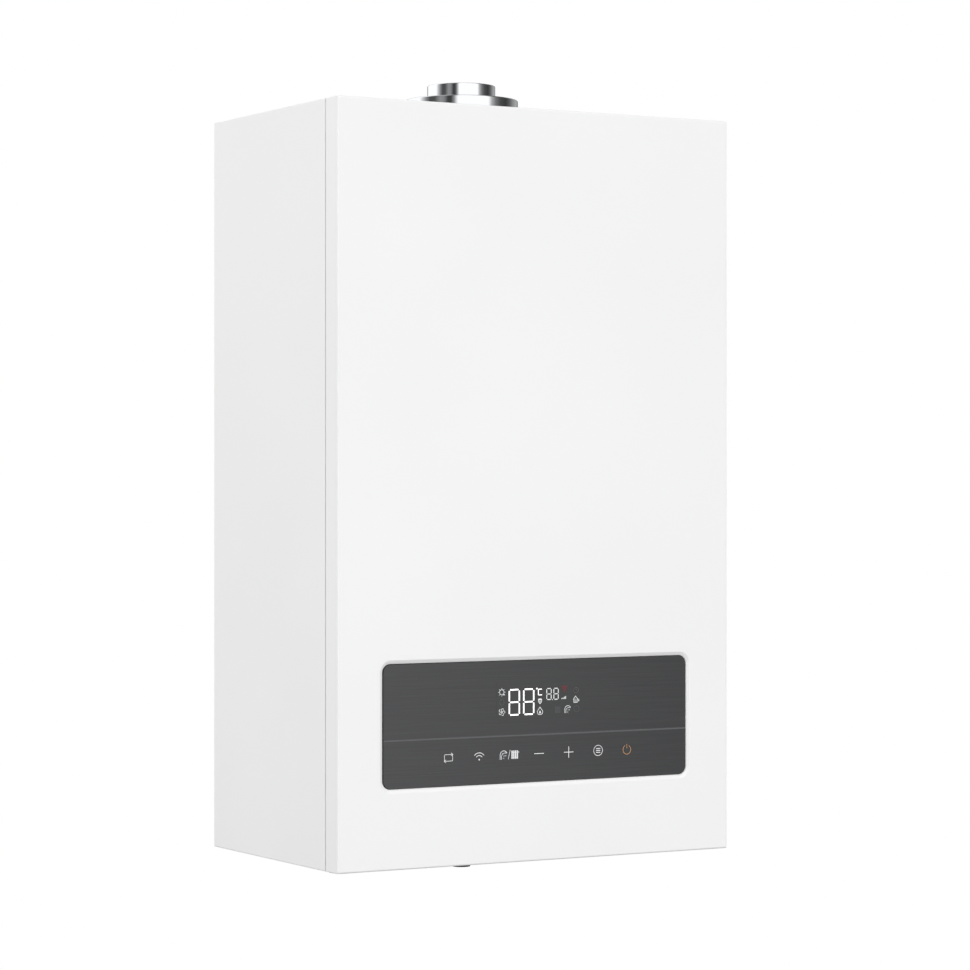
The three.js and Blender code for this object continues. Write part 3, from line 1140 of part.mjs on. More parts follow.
place('safety_valve_knob', 'red_plastic', slab('y',
  knobOutline([SAFETY_AXIS[2], SAFETY_X], SAFETY_KNOB_RADIUS, 8),
  SAFETY_FRONT - SEAT - SAFETY_KNOB_LENGTH, SAFETY_FRONT - SEAT));

place('filling_tap_knob', 'blue_plastic', weld(
  slab('z', knobOutline([TAP_X, CONNECTION_Y], TAP_KNOB_RADIUS, 8), -TAP_KNOB_HEIGHT - SHEET, -SHEET),
  rod('z', [TAP_X, CONNECTION_Y, 0], TAP_STEM, -SHEET - 1, BLOCK_BOTTOM + STEM_ENGAGED, 12)));

// ---------------------------------------------------------------- pipes and hoses

const HEADER_X = TUBE_END + SEAT;
const LOW_FLOW_Y = CONNECTION_Y;
const FLOW_STEP_Z = (BOX_TOP + BURNER_BOTTOM) / 2;

place('heating_flow_pipe', 'copper', pipe([
  [-HEADER_X, TUBE_FRONT_Y, TUBE_Z], [-FLOW_PIPE_X, TUBE_FRONT_Y, TUBE_Z],
  [-FLOW_PIPE_X, TUBE_FRONT_Y, FLOW_STEP_Z + PIPE_BEND],
  [-FLOW_PIPE_X, LOW_FLOW_Y, FLOW_STEP_Z - PIPE_BEND], [-FLOW_PIPE_X, LOW_FLOW_Y, BLOCK_TOP + SEAT],
], PIPE_RADIUS));

place('heating_return_pipe', 'copper', pipe([
  [PUMP_X, PUMP_NECK_Y, PUMP_TOP + SEAT], [PUMP_X, PUMP_NECK_Y, PUMP_TOP + PIPE_BEND],
  [FLOW_PIPE_X, TUBE_BACK_Y, FLOW_STEP_Z + PIPE_BEND], [FLOW_PIPE_X, TUBE_BACK_Y, TUBE_Z],
  [HEADER_X, TUBE_BACK_Y, TUBE_Z],
], PIPE_RADIUS));

const VESSEL_Z = CHAMBER_TOP - VESSEL_CLEARANCE - VESSEL_RADIUS;
const VESSEL_REAR = BACK_FRONT_Y - SEAT;
const VESSEL_FRONT = VESSEL_REAR - VESSEL_DEPTH;
const VESSEL_MID = (VESSEL_REAR + VESSEL_FRONT) / 2;
const VESSEL_PORT_END = VESSEL_Z - VESSEL_RADIUS - VESSEL_PORT_LENGTH;

function expansionVessel() {
  const shell = turned('y', [0, 0, VESSEL_Z], [
    [0, VESSEL_FRONT], [VESSEL_RADIUS - 2 * VESSEL_DISH, VESSEL_FRONT],
    [VESSEL_RADIUS - VESSEL_DISH / 2, VESSEL_FRONT + VESSEL_DISH / 2],
    [VESSEL_RADIUS - VESSEL_SEAM, VESSEL_FRONT + VESSEL_DISH], [VESSEL_RADIUS - VESSEL_SEAM, VESSEL_MID - 2],
    [VESSEL_RADIUS, VESSEL_MID - 2], [VESSEL_RADIUS, VESSEL_MID + 2],
    [VESSEL_RADIUS - VESSEL_SEAM, VESSEL_MID + 2], [VESSEL_RADIUS - VESSEL_SEAM, VESSEL_REAR - VESSEL_DISH],
    [VESSEL_RADIUS - VESSEL_DISH / 2, VESSEL_REAR - VESSEL_DISH / 2],
    [VESSEL_RADIUS - 2 * VESSEL_DISH, VESSEL_REAR], [0, VESSEL_REAR],
  ], BIG_ROUND);
  const port = rod('z', [0, VESSEL_MID, 0], VESSEL_PORT, VESSEL_PORT_END,
    VESSEL_Z - VESSEL_RADIUS + 2 * VESSEL_SEAM, 12);
  return weld(shell, port);
}
place('expansion_vessel', 'red_enamel', expansionVessel());

const HOSE_X = BLOCK_INNER + 2 * HOSE_RADIUS;
place('vessel_hose', 'stainless', pipe([
  [0, VESSEL_MID, VESSEL_PORT_END - SEAT], [0, VESSEL_MID, VESSEL_PORT_END - PIPE_BEND],
  [HOSE_X, CONNECTION_Y, PUMP_HEIGHT + PIPE_BEND], [HOSE_X, CONNECTION_Y, BLOCK_TOP + SEAT],
], HOSE_RADIUS));

// ---------------------------------------------------------------- switches

const SWITCH_INNER = INNER_HALF - SWITCH_THICKNESS;
const SWITCH_Y = -SWITCH_FROM_WALL;
place('air_pressure_switch', 'grey_plastic', turned('x', [0, SWITCH_Y, SWITCH_HEIGHT], [
  [0, SWITCH_INNER], [SWITCH_RADIUS / 3, SWITCH_INNER], [SWITCH_RADIUS / 3, SWITCH_INNER + SWITCH_THICKNESS / 3],
  [SWITCH_RADIUS, SWITCH_INNER + SWITCH_THICKNESS / 3], [SWITCH_RADIUS, INNER_HALF], [0, INNER_HALF],
]));

const HOSE_LEVEL = SWITCH_HEIGHT - SWITCH_RADIUS / 6;
const VOLUTE_OUTER = VOLUTE_RADIUS + VOLUTE_GROWTH;
place('pressure_hose', 'rubber', pipe([
  [SWITCH_INNER - SEAT, SWITCH_Y, HOSE_LEVEL],
  [(SWITCH_INNER + VOLUTE_OUTER) / 2, SWITCH_Y, HOSE_LEVEL],
  [(SWITCH_INNER + VOLUTE_OUTER) / 2, FLUE_Y, HOSE_LEVEL - PIPE_BEND],
  [VOLUTE_RADIUS, FLUE_Y, HOSE_LEVEL - PIPE_BEND],
], HOSE_RADIUS));

export default boiler;
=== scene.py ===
# %% [markdown]
# # A wall-hung combi boiler
#
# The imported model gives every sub-part at its real size and place. This lesson dresses it: it
# puts a camera where the photograph was taken, gives each piece the finish of the real one, and
# rebuilds the pieces whose edges and curves show. All lengths are metres, and one millimetre is
# written as MM.

# %% Load the frame
import math
import bpy
import numpy as np
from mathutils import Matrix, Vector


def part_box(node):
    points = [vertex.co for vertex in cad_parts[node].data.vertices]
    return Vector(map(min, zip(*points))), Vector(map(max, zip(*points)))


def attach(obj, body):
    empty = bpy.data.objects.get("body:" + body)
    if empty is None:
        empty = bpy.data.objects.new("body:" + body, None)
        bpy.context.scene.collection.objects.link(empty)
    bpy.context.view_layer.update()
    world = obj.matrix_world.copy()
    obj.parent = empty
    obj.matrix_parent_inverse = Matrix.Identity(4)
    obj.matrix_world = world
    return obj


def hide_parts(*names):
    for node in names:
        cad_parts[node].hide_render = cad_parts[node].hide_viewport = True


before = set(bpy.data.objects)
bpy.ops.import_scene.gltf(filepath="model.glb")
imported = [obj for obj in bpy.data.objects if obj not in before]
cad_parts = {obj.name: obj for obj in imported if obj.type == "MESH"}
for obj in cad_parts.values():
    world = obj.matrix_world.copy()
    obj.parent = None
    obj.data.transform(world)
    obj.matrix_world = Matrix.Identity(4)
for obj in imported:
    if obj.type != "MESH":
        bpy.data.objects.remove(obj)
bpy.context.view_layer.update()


MM = 0.001

# %% [markdown]
# ## Sizes
# Everything is worked out from the boxes of the solids, so the pieces made here land on them. The
# casing is the front cover and the two side panels together.

# %% Casing sizes
COVER_LOW, COVER_HIGH = (np.array(corner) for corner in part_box("front_cover"))
SIDE_LOW = np.array(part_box("side_panel_left")[0])
SHEET = 1.2 * MM
FRONT = COVER_LOW[1]
BOTTOM, TOP = COVER_LOW[2], COVER_HIGH[2]
HALF_WIDTH = COVER_HIGH[0]
print("casing width, depth, height:", 2 * HALF_WIDTH, -FRONT, TOP - BOTTOM)

# %% [markdown]
# ## Camera
# The straight edges of the casing fix the camera: it looks level, turned 29.96 degrees from
# square on, 3.24 m from the middle of the casing's back, with a 120 mm lens on a 36 mm sensor.

# %% Camera
LENS = 120.09
SENSOR = 36.0
TURN_FROM_SQUARE = math.radians(29.956)
LEFT_OF_CORNER = 1.3362
BEFORE_FRONT = 2.5838
PICTURE_WIDTH = 970
HORIZON_SHIFT = -0.35 / PICTURE_WIDTH


def make_camera():
    """A level camera at the measured place beside and before the left front corner."""
    data = bpy.data.cameras.new("camera")
    data.lens = LENS
    data.sensor_width = SENSOR
    data.shift_y = HORIZON_SHIFT
    camera = bpy.data.objects.new("camera", data)
    camera.location = (-HALF_WIDTH - LEFT_OF_CORNER, FRONT - BEFORE_FRONT, (BOTTOM + TOP) / 2)
    camera.rotation_euler = (math.pi / 2, 0, -TURN_FROM_SQUARE)
    bpy.context.scene.collection.objects.link(camera)
    bpy.context.scene.camera = camera
    return camera


CAMERA = make_camera()
print("camera at", tuple(round(value, 3) for value in CAMERA.location))

# %% [markdown]
# ## Materials
# A finish starts from what the real surface is. One function turns an sRGB hex colour into the
# linear numbers that a shader wants, and one adds a node with its settings and links.

# %% Colour and node helpers


def linear(hex_colour):
    """sRGB hex to linear red, green, blue and alpha, by the sRGB curve."""
    values = [int(hex_colour[i:i + 2], 16) / 255 for i in (1, 3, 5)]
    curve = [v / 12.92 if v <= 0.04045 else ((v + 0.055) / 1.055) ** 2.4 for v in values]
    return (*curve, 1.0)


def add(tree, kind, settings=None, **links):
    """Add a node, set its properties, and feed its sockets from values or other sockets."""
    node = tree.nodes.new(kind)
    for name, value in (settings or {}).items():
        setattr(node, name, value)
    for name, source in links.items():
        numbered = name.startswith("in") and name[2:].isdigit()
        key = int(name[2:]) if numbered else name.replace("_", " ")
        socket = node.inputs[key]
        if isinstance(source, bpy.types.NodeSocket):
            tree.links.new(source, socket)
        else:
            socket.default_value = source
    return node


def new_material(name, colour, roughness, metallic=0.0, **more):
    """A material with a Principled shader, and the tree and shader to build on."""
    made = bpy.data.materials.new(name)
    made.use_nodes = True
    tree = made.node_tree
    shader = tree.nodes["Principled BSDF"]
    shader.inputs["Base Color"].default_value = linear(colour)
    shader.inputs["Roughness"].default_value = roughness
    shader.inputs["Metallic"].default_value = metallic
    for socket, value in more.items():
        shader.inputs[socket.replace("_", " ")].default_value = value
    made.diffuse_color = linear(colour)
    return made, tree, shader


def place_of(tree, scale=(1, 1, 1)):
    """Object coordinates in metres, stretched by a scale on each axis."""
    where = add(tree, "ShaderNodeTexCoord")
    return add(tree, "ShaderNodeMapping", Vector=where.outputs["Object"],
               Scale=scale).outputs["Vector"]


def tint(tree, shader, where, size_mm, dark, light, detail=2.0):
    """Mottle the base colour between two near shades with noise of a real size."""
    noise = add(tree, "ShaderNodeTexNoise", Vector=where, Scale=1 / (size_mm * MM), Detail=detail)
    ramp = add(tree, "ShaderNodeValToRGB", Fac=noise.outputs["Fac"])
    ramp.color_ramp.elements[0].position = 0.3
    ramp.color_ramp.elements[1].position = 0.7
    ramp.color_ramp.elements[0].color = linear(dark)
    ramp.color_ramp.elements[1].color = linear(light)
    tree.links.new(ramp.outputs["Color"], shader.inputs["Base Color"])
    return noise


def roughen(tree, shader, where, size_mm, low, high):
    """Vary the roughness between two values with noise of a real size."""
    noise = add(tree, "ShaderNodeTexNoise", Vector=where, Scale=1 / (size_mm * MM), Detail=3.0)
    spread = add(tree, "ShaderNodeMapRange", Value=noise.outputs["Fac"], From_Min=0.3, From_Max=0.7,
                 To_Min=low, To_Max=high)
    tree.links.new(spread.outputs["Result"], shader.inputs["Roughness"])


def dent(tree, shader, where, size_mm, height_mm, strength=1.0):
    """Raise and sink the surface with noise of a real size and height."""
    noise = add(tree, "ShaderNodeTexNoise", Vector=where, Scale=1 / (size_mm * MM), Detail=2.0)
    bump = add(tree, "ShaderNodeBump", Height=noise.outputs["Fac"], Strength=strength,
               Distance=height_mm * MM)
    tree.links.new(bump.outputs["Normal"], shader.inputs["Normal"])
    return bump


# %% [markdown]
# ### Powder coat
# The casing is sheet steel with a baked powder coat. The coat is satin, and it dries with a very
# faint orange peel about 2 mm across, which only shows as a soft edge to reflections.

# %% Powder coat
def powder_coat():
    """White paint with a wide faint mottle, a fine change of gloss, and bumps 2.2 mm across and
    0.002 mm high."""
    made, tree, shader = new_material("satin_powder_coat", "#F4F4F4", 0.3)
    where = place_of(tree)
    tint(tree, shader, where, 180, "#F3F3F3", "#F5F5F5")
    roughen(tree, shader, where, 9, 0.28, 0.33)
    dent(tree, shader, where, 2.2, 0.002, 0.4)
    return made


POWDER_COAT = powder_coat()

# %% [markdown]
# ### Metals
# Sheet inside the casing is zinc coated, with a soft spangle. Stainless sheet is brushed, so its
# noise is stretched along one axis. The flue outlet is polished and plated. Copper pipe is drawn,
# and tarnishes in patches.

# %% Metals
def galvanised_sheet():
    """Zinc coated sheet: flat cells 7 mm across, each of one grey between two near ones, and a
    roughness between 0.34 and 0.5 that wanders over 12 mm."""
    made, tree, shader = new_material("galvanised_sheet", "#BFC2C4", 0.42, 0.85)
    where = place_of(tree)
    cells = add(tree, "ShaderNodeTexVoronoi", Vector=where, Scale=1 / (7 * MM), Randomness=1.0)
    ramp = add(tree, "ShaderNodeValToRGB", Fac=cells.outputs["Color"])
    ramp.color_ramp.elements[0].color = linear("#B4B7BA")
    ramp.color_ramp.elements[1].color = linear("#CBCED0")
    tree.links.new(ramp.outputs["Color"], shader.inputs["Base Color"])
    roughen(tree, shader, where, 12, 0.34, 0.5)
    return made


def brushed_stainless():
    """Brushed sheet: the coordinates are multiplied by 1, 60 and 60, so that 25 mm noise turns
    into long thin lines along X, in colour and in roughness."""
    made, tree, shader = new_material("brushed_stainless", "#C4C6C8", 0.3, 1.0)
    lines = place_of(tree, (1, 60, 60))
    tint(tree, shader, lines, 25, "#B4B6B8", "#CDCFD1", 4.0)
    roughen(tree, shader, lines, 25, 0.24, 0.38)
    return made


def polished_plate():
    """Bright plating: pale metal whose roughness stays between 0.04 and 0.075 and changes six
    times as fast up the height as across it."""
    made, tree, shader = new_material("polished_chrome_plate", "#E6E8EA", 0.05, 1.0)
    where = place_of(tree, (1, 1, 6))
    roughen(tree, shader, where, 5, 0.04, 0.075)
    return made


def cast_aluminium():
    """Die cast metal: two greys in 14 mm patches, roughness in 5 mm patches, and bumps 0.9 mm
    across and 0.03 mm high."""
    made, tree, shader = new_material("die_cast_aluminium", "#C6C9CC", 0.45, 0.9)
    where = place_of(tree)
    tint(tree, shader, where, 14, "#BCBFC2", "#CFD2D4")
    roughen(tree, shader, where, 5, 0.38, 0.55)
    dent(tree, shader, where, 0.9, 0.03, 0.5)
    return made


def drawn_copper():
    """Drawn pipe: copper between a dark and a light tone in 26 mm patches of tarnish, with a
    roughness between 0.18 and 0.36 in 18 mm patches."""
    made, tree, shader = new_material("drawn_copper", "#C98058", 0.26, 1.0)
    where = place_of(tree)
    tint(tree, shader, where, 26, "#B06A44", "#D08A62", 4.0)
    roughen(tree, shader, where, 18, 0.18, 0.36)
    return made


def machined_brass():
    """Machined brass: two near tones in 18 mm patches, with roughness in 7 mm patches."""
    made, tree, shader = new_material("machined_brass", "#CDB06A", 0.28, 1.0)
    where = place_of(tree)
    tint(tree, shader, where, 18, "#BC9C56", "#D6BB78")
    roughen(tree, shader, where, 7, 0.22, 0.4)
    return made


# Painted shade: the gas tail's near-black colour stands in for the shade under the casing.
def shade_darkened_steel():
    """Dark turned steel with a little oil on it. Its near-black is painted shade for the shade
    under the casing where the gas tail hangs: two near blacks in 9 mm patches.
    """
    made, tree, shader = new_material("shade_darkened_steel", "#2C2D2E", 0.35, 0.6)
    where = place_of(tree)
    tint(tree, shader, where, 9, "#252627", "#333435")
    roughen(tree, shader, where, 4, 0.3, 0.45)
    return made


GALVANISED = galvanised_sheet()
STAINLESS = brushed_stainless()
POLISHED = polished_plate()
ALUMINIUM = cast_aluminium()
COPPER = drawn_copper()
BRASS = machined_brass()
SHADE_DARK_STEEL = shade_darkened_steel()

# %% [markdown]
# ### Plastics, rubber, ceramic and paint
# Moulded plastic has a spark-eroded grain of about half a millimetre. Ceramic board is chalky and
# a little uneven. The expansion vessel has glossy red paint.

# %% Plastics and the rest
def moulded(name, colour, shade, roughness, grain_mm=0.6, height_mm=0.02):
    """A moulding: its colour mixed with a near shade in 20 mm patches, a roughness that runs from
    0.05 below to 0.06 above the given one, and a grain of the given width and height."""
    made, tree, shader = new_material(name, colour, roughness)
    where = place_of(tree)
    tint(tree, shader, where, 20, shade, colour)
    roughen(tree, shader, where, 6, roughness - 0.05, roughness + 0.06)
    dent(tree, shader, where, grain_mm, height_mm, 0.5)
    return made


BLACK_PLASTIC = moulded("moulded_black_nylon", "#26272A", "#1F2022", 0.5)
GREY_PLASTIC = moulded("moulded_grey_abs", "#73777B", "#6C7074", 0.5)
RED_PLASTIC = moulded("moulded_red_abs", "#C42A22", "#B8241E", 0.38)
BLUE_PLASTIC = moulded("moulded_blue_abs", "#2A5CA8", "#24529A", 0.38)
SILICONE = moulded("extruded_silicone_hose", "#34363A", "#2C2E31", 0.62, 1.2, 0.01)
CERAMIC = moulded("ceramic_fibre_board", "#ECE8DE", "#E0DACD", 0.85, 1.4, 0.08)
RED_PAINT = moulded("red_gloss_paint", "#B5271D", "#A82219", 0.22, 3.0, 0.01)
CIRCUIT = moulded("solder_mask_laminate", "#24623F", "#1C5234", 0.4, 2.5, 0.02)
SIGHT = moulded("mica_sight_glass", "#7A6A4C", "#5E5240", 0.15, 3.0, 0.005)

FINISH_OF_SLOT = {
    "white_enamel": POWDER_COAT, "galvanised": GALVANISED, "stainless": STAINLESS,
    "polished": POLISHED, "blackened": SHADE_DARK_STEEL, "aluminium": ALUMINIUM, "copper": COPPER,
    "brass": BRASS, "black_plastic": BLACK_PLASTIC, "grey_plastic": GREY_PLASTIC,
    "red_plastic": RED_PLASTIC, "blue_plastic": BLUE_PLASTIC, "rubber": SILICONE,
    "ceramic": CERAMIC, "red_enamel": RED_PAINT, "circuit_board": CIRCUIT, "sight_glass": SIGHT,
}
print(len(FINISH_OF_SLOT), "finishes made")

# %% [markdown]
# ### Touch glass
# The panel is toughened glass, printed on its back in dark grey with fine level lines, so that it
# looks like brushed metal under gloss. The lines are about 0.7 mm apart and 6 cm long, so the
# noise is stretched along X.

# %% Touch glass
GLASS_PRINT = "#3E3F40"
LINE_SPACING = 0.7
LINE_STRETCH = 1 / 90


def printed_glass(name, dark, light):
    """Glass printed on its back: noise 0.7 mm fine, with X multiplied by 1/90 so that it draws
    out into level lines, mixes a dark and a light grey under a thin clear coat."""
    made, tree, shader = new_material(name, GLASS_PRINT, 0.12, Coat_Weight=0.3, Coat_Roughness=0.05)
    lines = place_of(tree, (LINE_STRETCH, 1, 1))
    tint(tree, shader, lines, LINE_SPACING, dark, light, 3.0)
    return made


TOUCH_GLASS = printed_glass("back_printed_touch_glass", "#27282A", "#2F3031")
DISPLAY_GLASS = printed_glass("display_window_print", "#282A2A", "#2D2E2F")
FINISH_OF_SLOT["panel_glass"] = TOUCH_GLASS


def ink(name, colour, glow=0.0):
    """A printed or lit symbol: satin ink, with some light of its own where a lamp is behind it."""
    made, tree, shader = new_material(name, colour, 0.45)
    shader.inputs["Emission Color"].default_value = linear(colour)
    shader.inputs["Emission Strength"].default_value = glow
    return made


KEY_INK = ink("lit_key_symbols", "#D2D4D5", 0.35)
SEGMENT_INK = ink("lit_display_segments", "#FFFFFF", 0.8)
AMBER_INK = ink("lit_power_symbol", "#B98A60", 0.25)
GHOST_INK = ink("unlit_segments", "#4D4E4F")
WARNING_INK = ink("dim_red_segment", "#5E2B30", 0.05)
DIVIDER_INK = ink("divider_line_print", "#565758")

# %% [markdown]
# ## Mesh helpers
# A piece is made from arrays of vertices and faces in the shared frame. A body of revolution is a
# profile of radius and place along an axis turned in even steps, and a shell is a row of closed
# loops with the same number of points, joined loop to loop.

# %% Mesh helpers
SMOOTH_ANGLE = math.radians(32)
SIDE_PER_BEND = 2.2


def make_piece(name, vertices, faces, finish, body, replaced=(), smooth=True, bevel=0.0,
               flat=False):
    """A mesh object with its place in its vertices, a finish, and the body that it rides on. Flat
    asks for normals weighted by face area, so wide flat faces stay flat beside small radii."""
    mesh = bpy.data.meshes.new(name)
    mesh.from_pydata(np.asarray(vertices, float).reshape(-1, 3).tolist(), [], faces)
    mesh.validate()
    mesh.update()
    made = bpy.data.objects.new(name, mesh)
    bpy.context.scene.collection.objects.link(made)
    mesh.materials.append(finish)
    if bevel:
        edge = made.modifiers.new("edge", "BEVEL")
        edge.width = bevel
        edge.segments = 3
        edge.limit_method = "ANGLE"
        edge.angle_limit = SMOOTH_ANGLE
        edge.harden_normals = True
        smooth = True
    if smooth:
        mesh.shade_smooth()
        mesh.set_sharp_from_angle(angle=SMOOTH_ANGLE)
    if flat:
        weighted = made.modifiers.new("weighted_normals", "WEIGHTED_NORMAL")
        weighted.keep_sharp = True
    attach(made, body)
    if replaced:
        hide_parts(*replaced)
    return made


def join_parts(*parts):
    """Several (vertices, faces) pairs as one, with the faces' numbers moved on."""
    vertices, faces, count = [], [], 0
    for spots, sides in parts:
        spots = np.asarray(spots, float).reshape(-1, 3)
        vertices.append(spots)
        faces.extend(tuple(int(i) + count for i in side) for side in sides)
        count += len(spots)
    return np.concatenate(vertices), faces


def grid_faces(rows, columns, close_rows, close_columns):
    """Quads over a grid of points, wrapped round in either direction where asked."""
    i, j = np.meshgrid(np.arange(rows if close_rows else rows - 1),
                       np.arange(columns if close_columns else columns - 1), indexing="ij")
    i, j = i.ravel(), j.ravel()
    down, along = (i + 1) % rows, (j + 1) % columns
    quads = np.stack([i * columns + j, i * columns + along, down * columns + along,
                      down * columns + j], 1)
    return [tuple(quad) for quad in quads.tolist()]


AXIS_ORDER = {"x": (2, 0, 1), "y": (1, 2, 0), "z": (0, 1, 2)}


def to_axis(points, axis):
    """Points made about +Z, turned to run about another axis: x gives (z, x, y)."""
    return np.asarray(points)[:, AXIS_ORDER[axis]]


def turned(axis, centre, profile, steps=96):
    """A body of revolution: at each step the profile's radius points out at that angle. A profile
    that touches the axis at both ends is closed by two poles; another one closes on itself."""
    profile = np.array(profile, float)
    open_ends = profile[0, 0] == 0 and profile[-1, 0] == 0
    rings = profile[1:-1] if open_ends else profile
    angle = np.linspace(0, 2 * np.pi, steps, endpoint=False)
    radius, along = rings[:, :1], rings[:, 1:]
    spots = np.stack([radius * np.cos(angle), radius * np.sin(angle),
                      along + 0 * angle], 2).reshape(-1, 3)
    faces = grid_faces(len(rings), steps, not open_ends, True)
    if open_ends:
        low, high = len(spots), len(spots) + 1
        spots = np.concatenate([spots, [[0, 0, profile[0, 1]], [0, 0, profile[-1, 1]]]])
        last = (len(rings) - 1) * steps
        faces += [(low, (j + 1) % steps, j) for j in range(steps)]
        faces += [(high, last + j, last + (j + 1) % steps) for j in range(steps)]
    return to_axis(spots, axis) + np.array(centre), faces


def rounded(profile, radius, steps=4):
    """The same profile with each inner corner turned by a short curve of about that radius, which
    takes up less than half of the side before it and of the side after it."""
    points = [np.array(profile[0], float)]
    for before, corner, after in zip(profile, profile[1:], profile[2:]):
        before, corner, after = (np.array(p, float) for p in (before, corner, after))
        back, on = before - corner, after - corner
        reach = min(radius, np.linalg.norm(back) / SIDE_PER_BEND,
                    np.linalg.norm(on) / SIDE_PER_BEND)
        start = corner + back / np.linalg.norm(back) * reach
        end = corner + on / np.linalg.norm(on) * reach
        share = np.linspace(0, 1, steps + 1)[:, None]
        points.extend((1 - share) ** 2 * start + 2 * share * (1 - share) * corner
                      + share ** 2 * end)
    points.append(np.array(profile[-1], float))
    return np.array(points)


def end_faces(count, rows):
    """The two end faces of a row of loops with count points each: the first loop reversed, and
    the last loop as it runs."""
    return [tuple(reversed(range(count))), tuple(range((rows - 1) * count, rows * count))]


def round_rectangle(middle, width, height, radius, steps=8):
    """A rectangle with four quarter-circle corners, counter-clockwise."""
    quarter = np.linspace(0, np.pi / 2, steps + 1)
    corners = []
    for i, (across, up) in enumerate([(1, 1), (-1, 1), (-1, -1), (1, -1)]):
        centre = np.array(middle) + [across * (width / 2 - radius), up * (height / 2 - radius)]
        angle = quarter + i * np.pi / 2
        corners.append(centre + radius * np.stack([np.cos(angle), np.sin(angle)], 1))
    return np.concatenate(corners)


def at_depth(flat, y):
    """Flat (x, z) points stood up at one depth."""
    return np.stack([flat[:, 0], np.full(len(flat), y), flat[:, 1]], 1)


def shell(loops):
    """A closed skin over loops of equal length, from the first round to the last and back."""
    loops = np.array(loops)
    return loops.reshape(-1, 3), grid_faces(loops.shape[0], loops.shape[1], True, True)


# %% [markdown]
# ## Front cover
# The cover is one shallow tray of folded sheet. Its front edge is rounded to 1.7 mm, and a
# drawn window with sloping sides sits over the glass. Every loop round the tray has the same
# number of points, from the rear edge over the front to the window and back inside, so the whole
# cover is one closed skin with clean normals.

# %% Front cover
GLASS_LOW, GLASS_HIGH = (np.array(corner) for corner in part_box("panel_glass"))
WINDOW_GAP = 0.4 * MM
WINDOW_WIDTH = GLASS_HIGH[0] - GLASS_LOW[0] + 2 * WINDOW_GAP
WINDOW_HEIGHT = GLASS_HIGH[2] - GLASS_LOW[2] + 2 * WINDOW_GAP
WINDOW_MIDDLE = (0, (GLASS_LOW[2] + GLASS_HIGH[2]) / 2)
WINDOW_CORNER = 8 * MM
RIM_SLOPE = 3.4 * MM
RIM_DEPTH = 2.0 * MM
COVER_EDGE = 1.7 * MM
OUTER_CORNER = 0.9 * MM
CORNER_STEPS = 10


def cover_loop(inset, y):
    """The cover's outline, drawn in from its edge, at one depth."""
    width, height = 2 * HALF_WIDTH - 2 * inset, TOP - BOTTOM - 2 * inset
    return at_depth(round_rectangle((0, (TOP + BOTTOM) / 2), width, height, OUTER_CORNER,
                                    CORNER_STEPS), y)


def window_loop(outset, y):
    """The window's outline, drawn out from the glass, at one depth."""
    return at_depth(round_rectangle(WINDOW_MIDDLE, WINDOW_WIDTH + 2 * outset,
                                    WINDOW_HEIGHT + 2 * outset, WINDOW_CORNER + outset,
                                    CORNER_STEPS), y)


def front_cover():
    """The tray as a row of loops. The front edge is a quarter circle: the loop draws in by
    R(1 - cos t) while its depth grows by R(1 - sin t). The window's rim slopes in a straight line
    from the face to the glass, with both of its corners softened."""
    rear = COVER_HIGH[1]
    bend = np.linspace(0, np.pi / 2, 6)
    outside = [cover_loop(COVER_EDGE * (1 - math.cos(turn)),
                          FRONT + COVER_EDGE * (1 - math.sin(turn)))
               for turn in bend]
    soft = 0.5 * MM
    rim = rounded([(3 * soft + RIM_SLOPE, 0), (RIM_SLOPE, 0), (0, RIM_DEPTH),
                   (0, RIM_DEPTH + SHEET)], soft)[:-1]
    window = [window_loop(outset, FRONT + depth) for outset, depth in rim]
    behind = [window_loop(0, FRONT + RIM_DEPTH + SHEET), window_loop(RIM_SLOPE, FRONT + SHEET)]
    inside = [cover_loop(SHEET, FRONT + SHEET), cover_loop(SHEET, rear)]
    loops = [cover_loop(0, rear), *outside, *window, *behind, *inside]
    spots, faces = shell(loops)
    return make_piece("cover_tray", spots, faces, POWDER_COAT, "front_cover", ["front_cover"],
                      flat=True)


COVER_TRAY = front_cover()
print("cover points:", len(COVER_TRAY.data.vertices))

# %% [markdown]
# ## Side panels
# Each side is a sheet folded at the front and the rear. The folds have a small outside radius
# that catches a line of light along the seam, so the folded outline is drawn with soft corners
# and carried up the height.

# %% Side panels
FOLD_RADIUS = 1.0 * MM
END_RADIUS = 0.95 * MM
FRONT_LIP = 14 * MM
REAR_LIP = 18 * MM


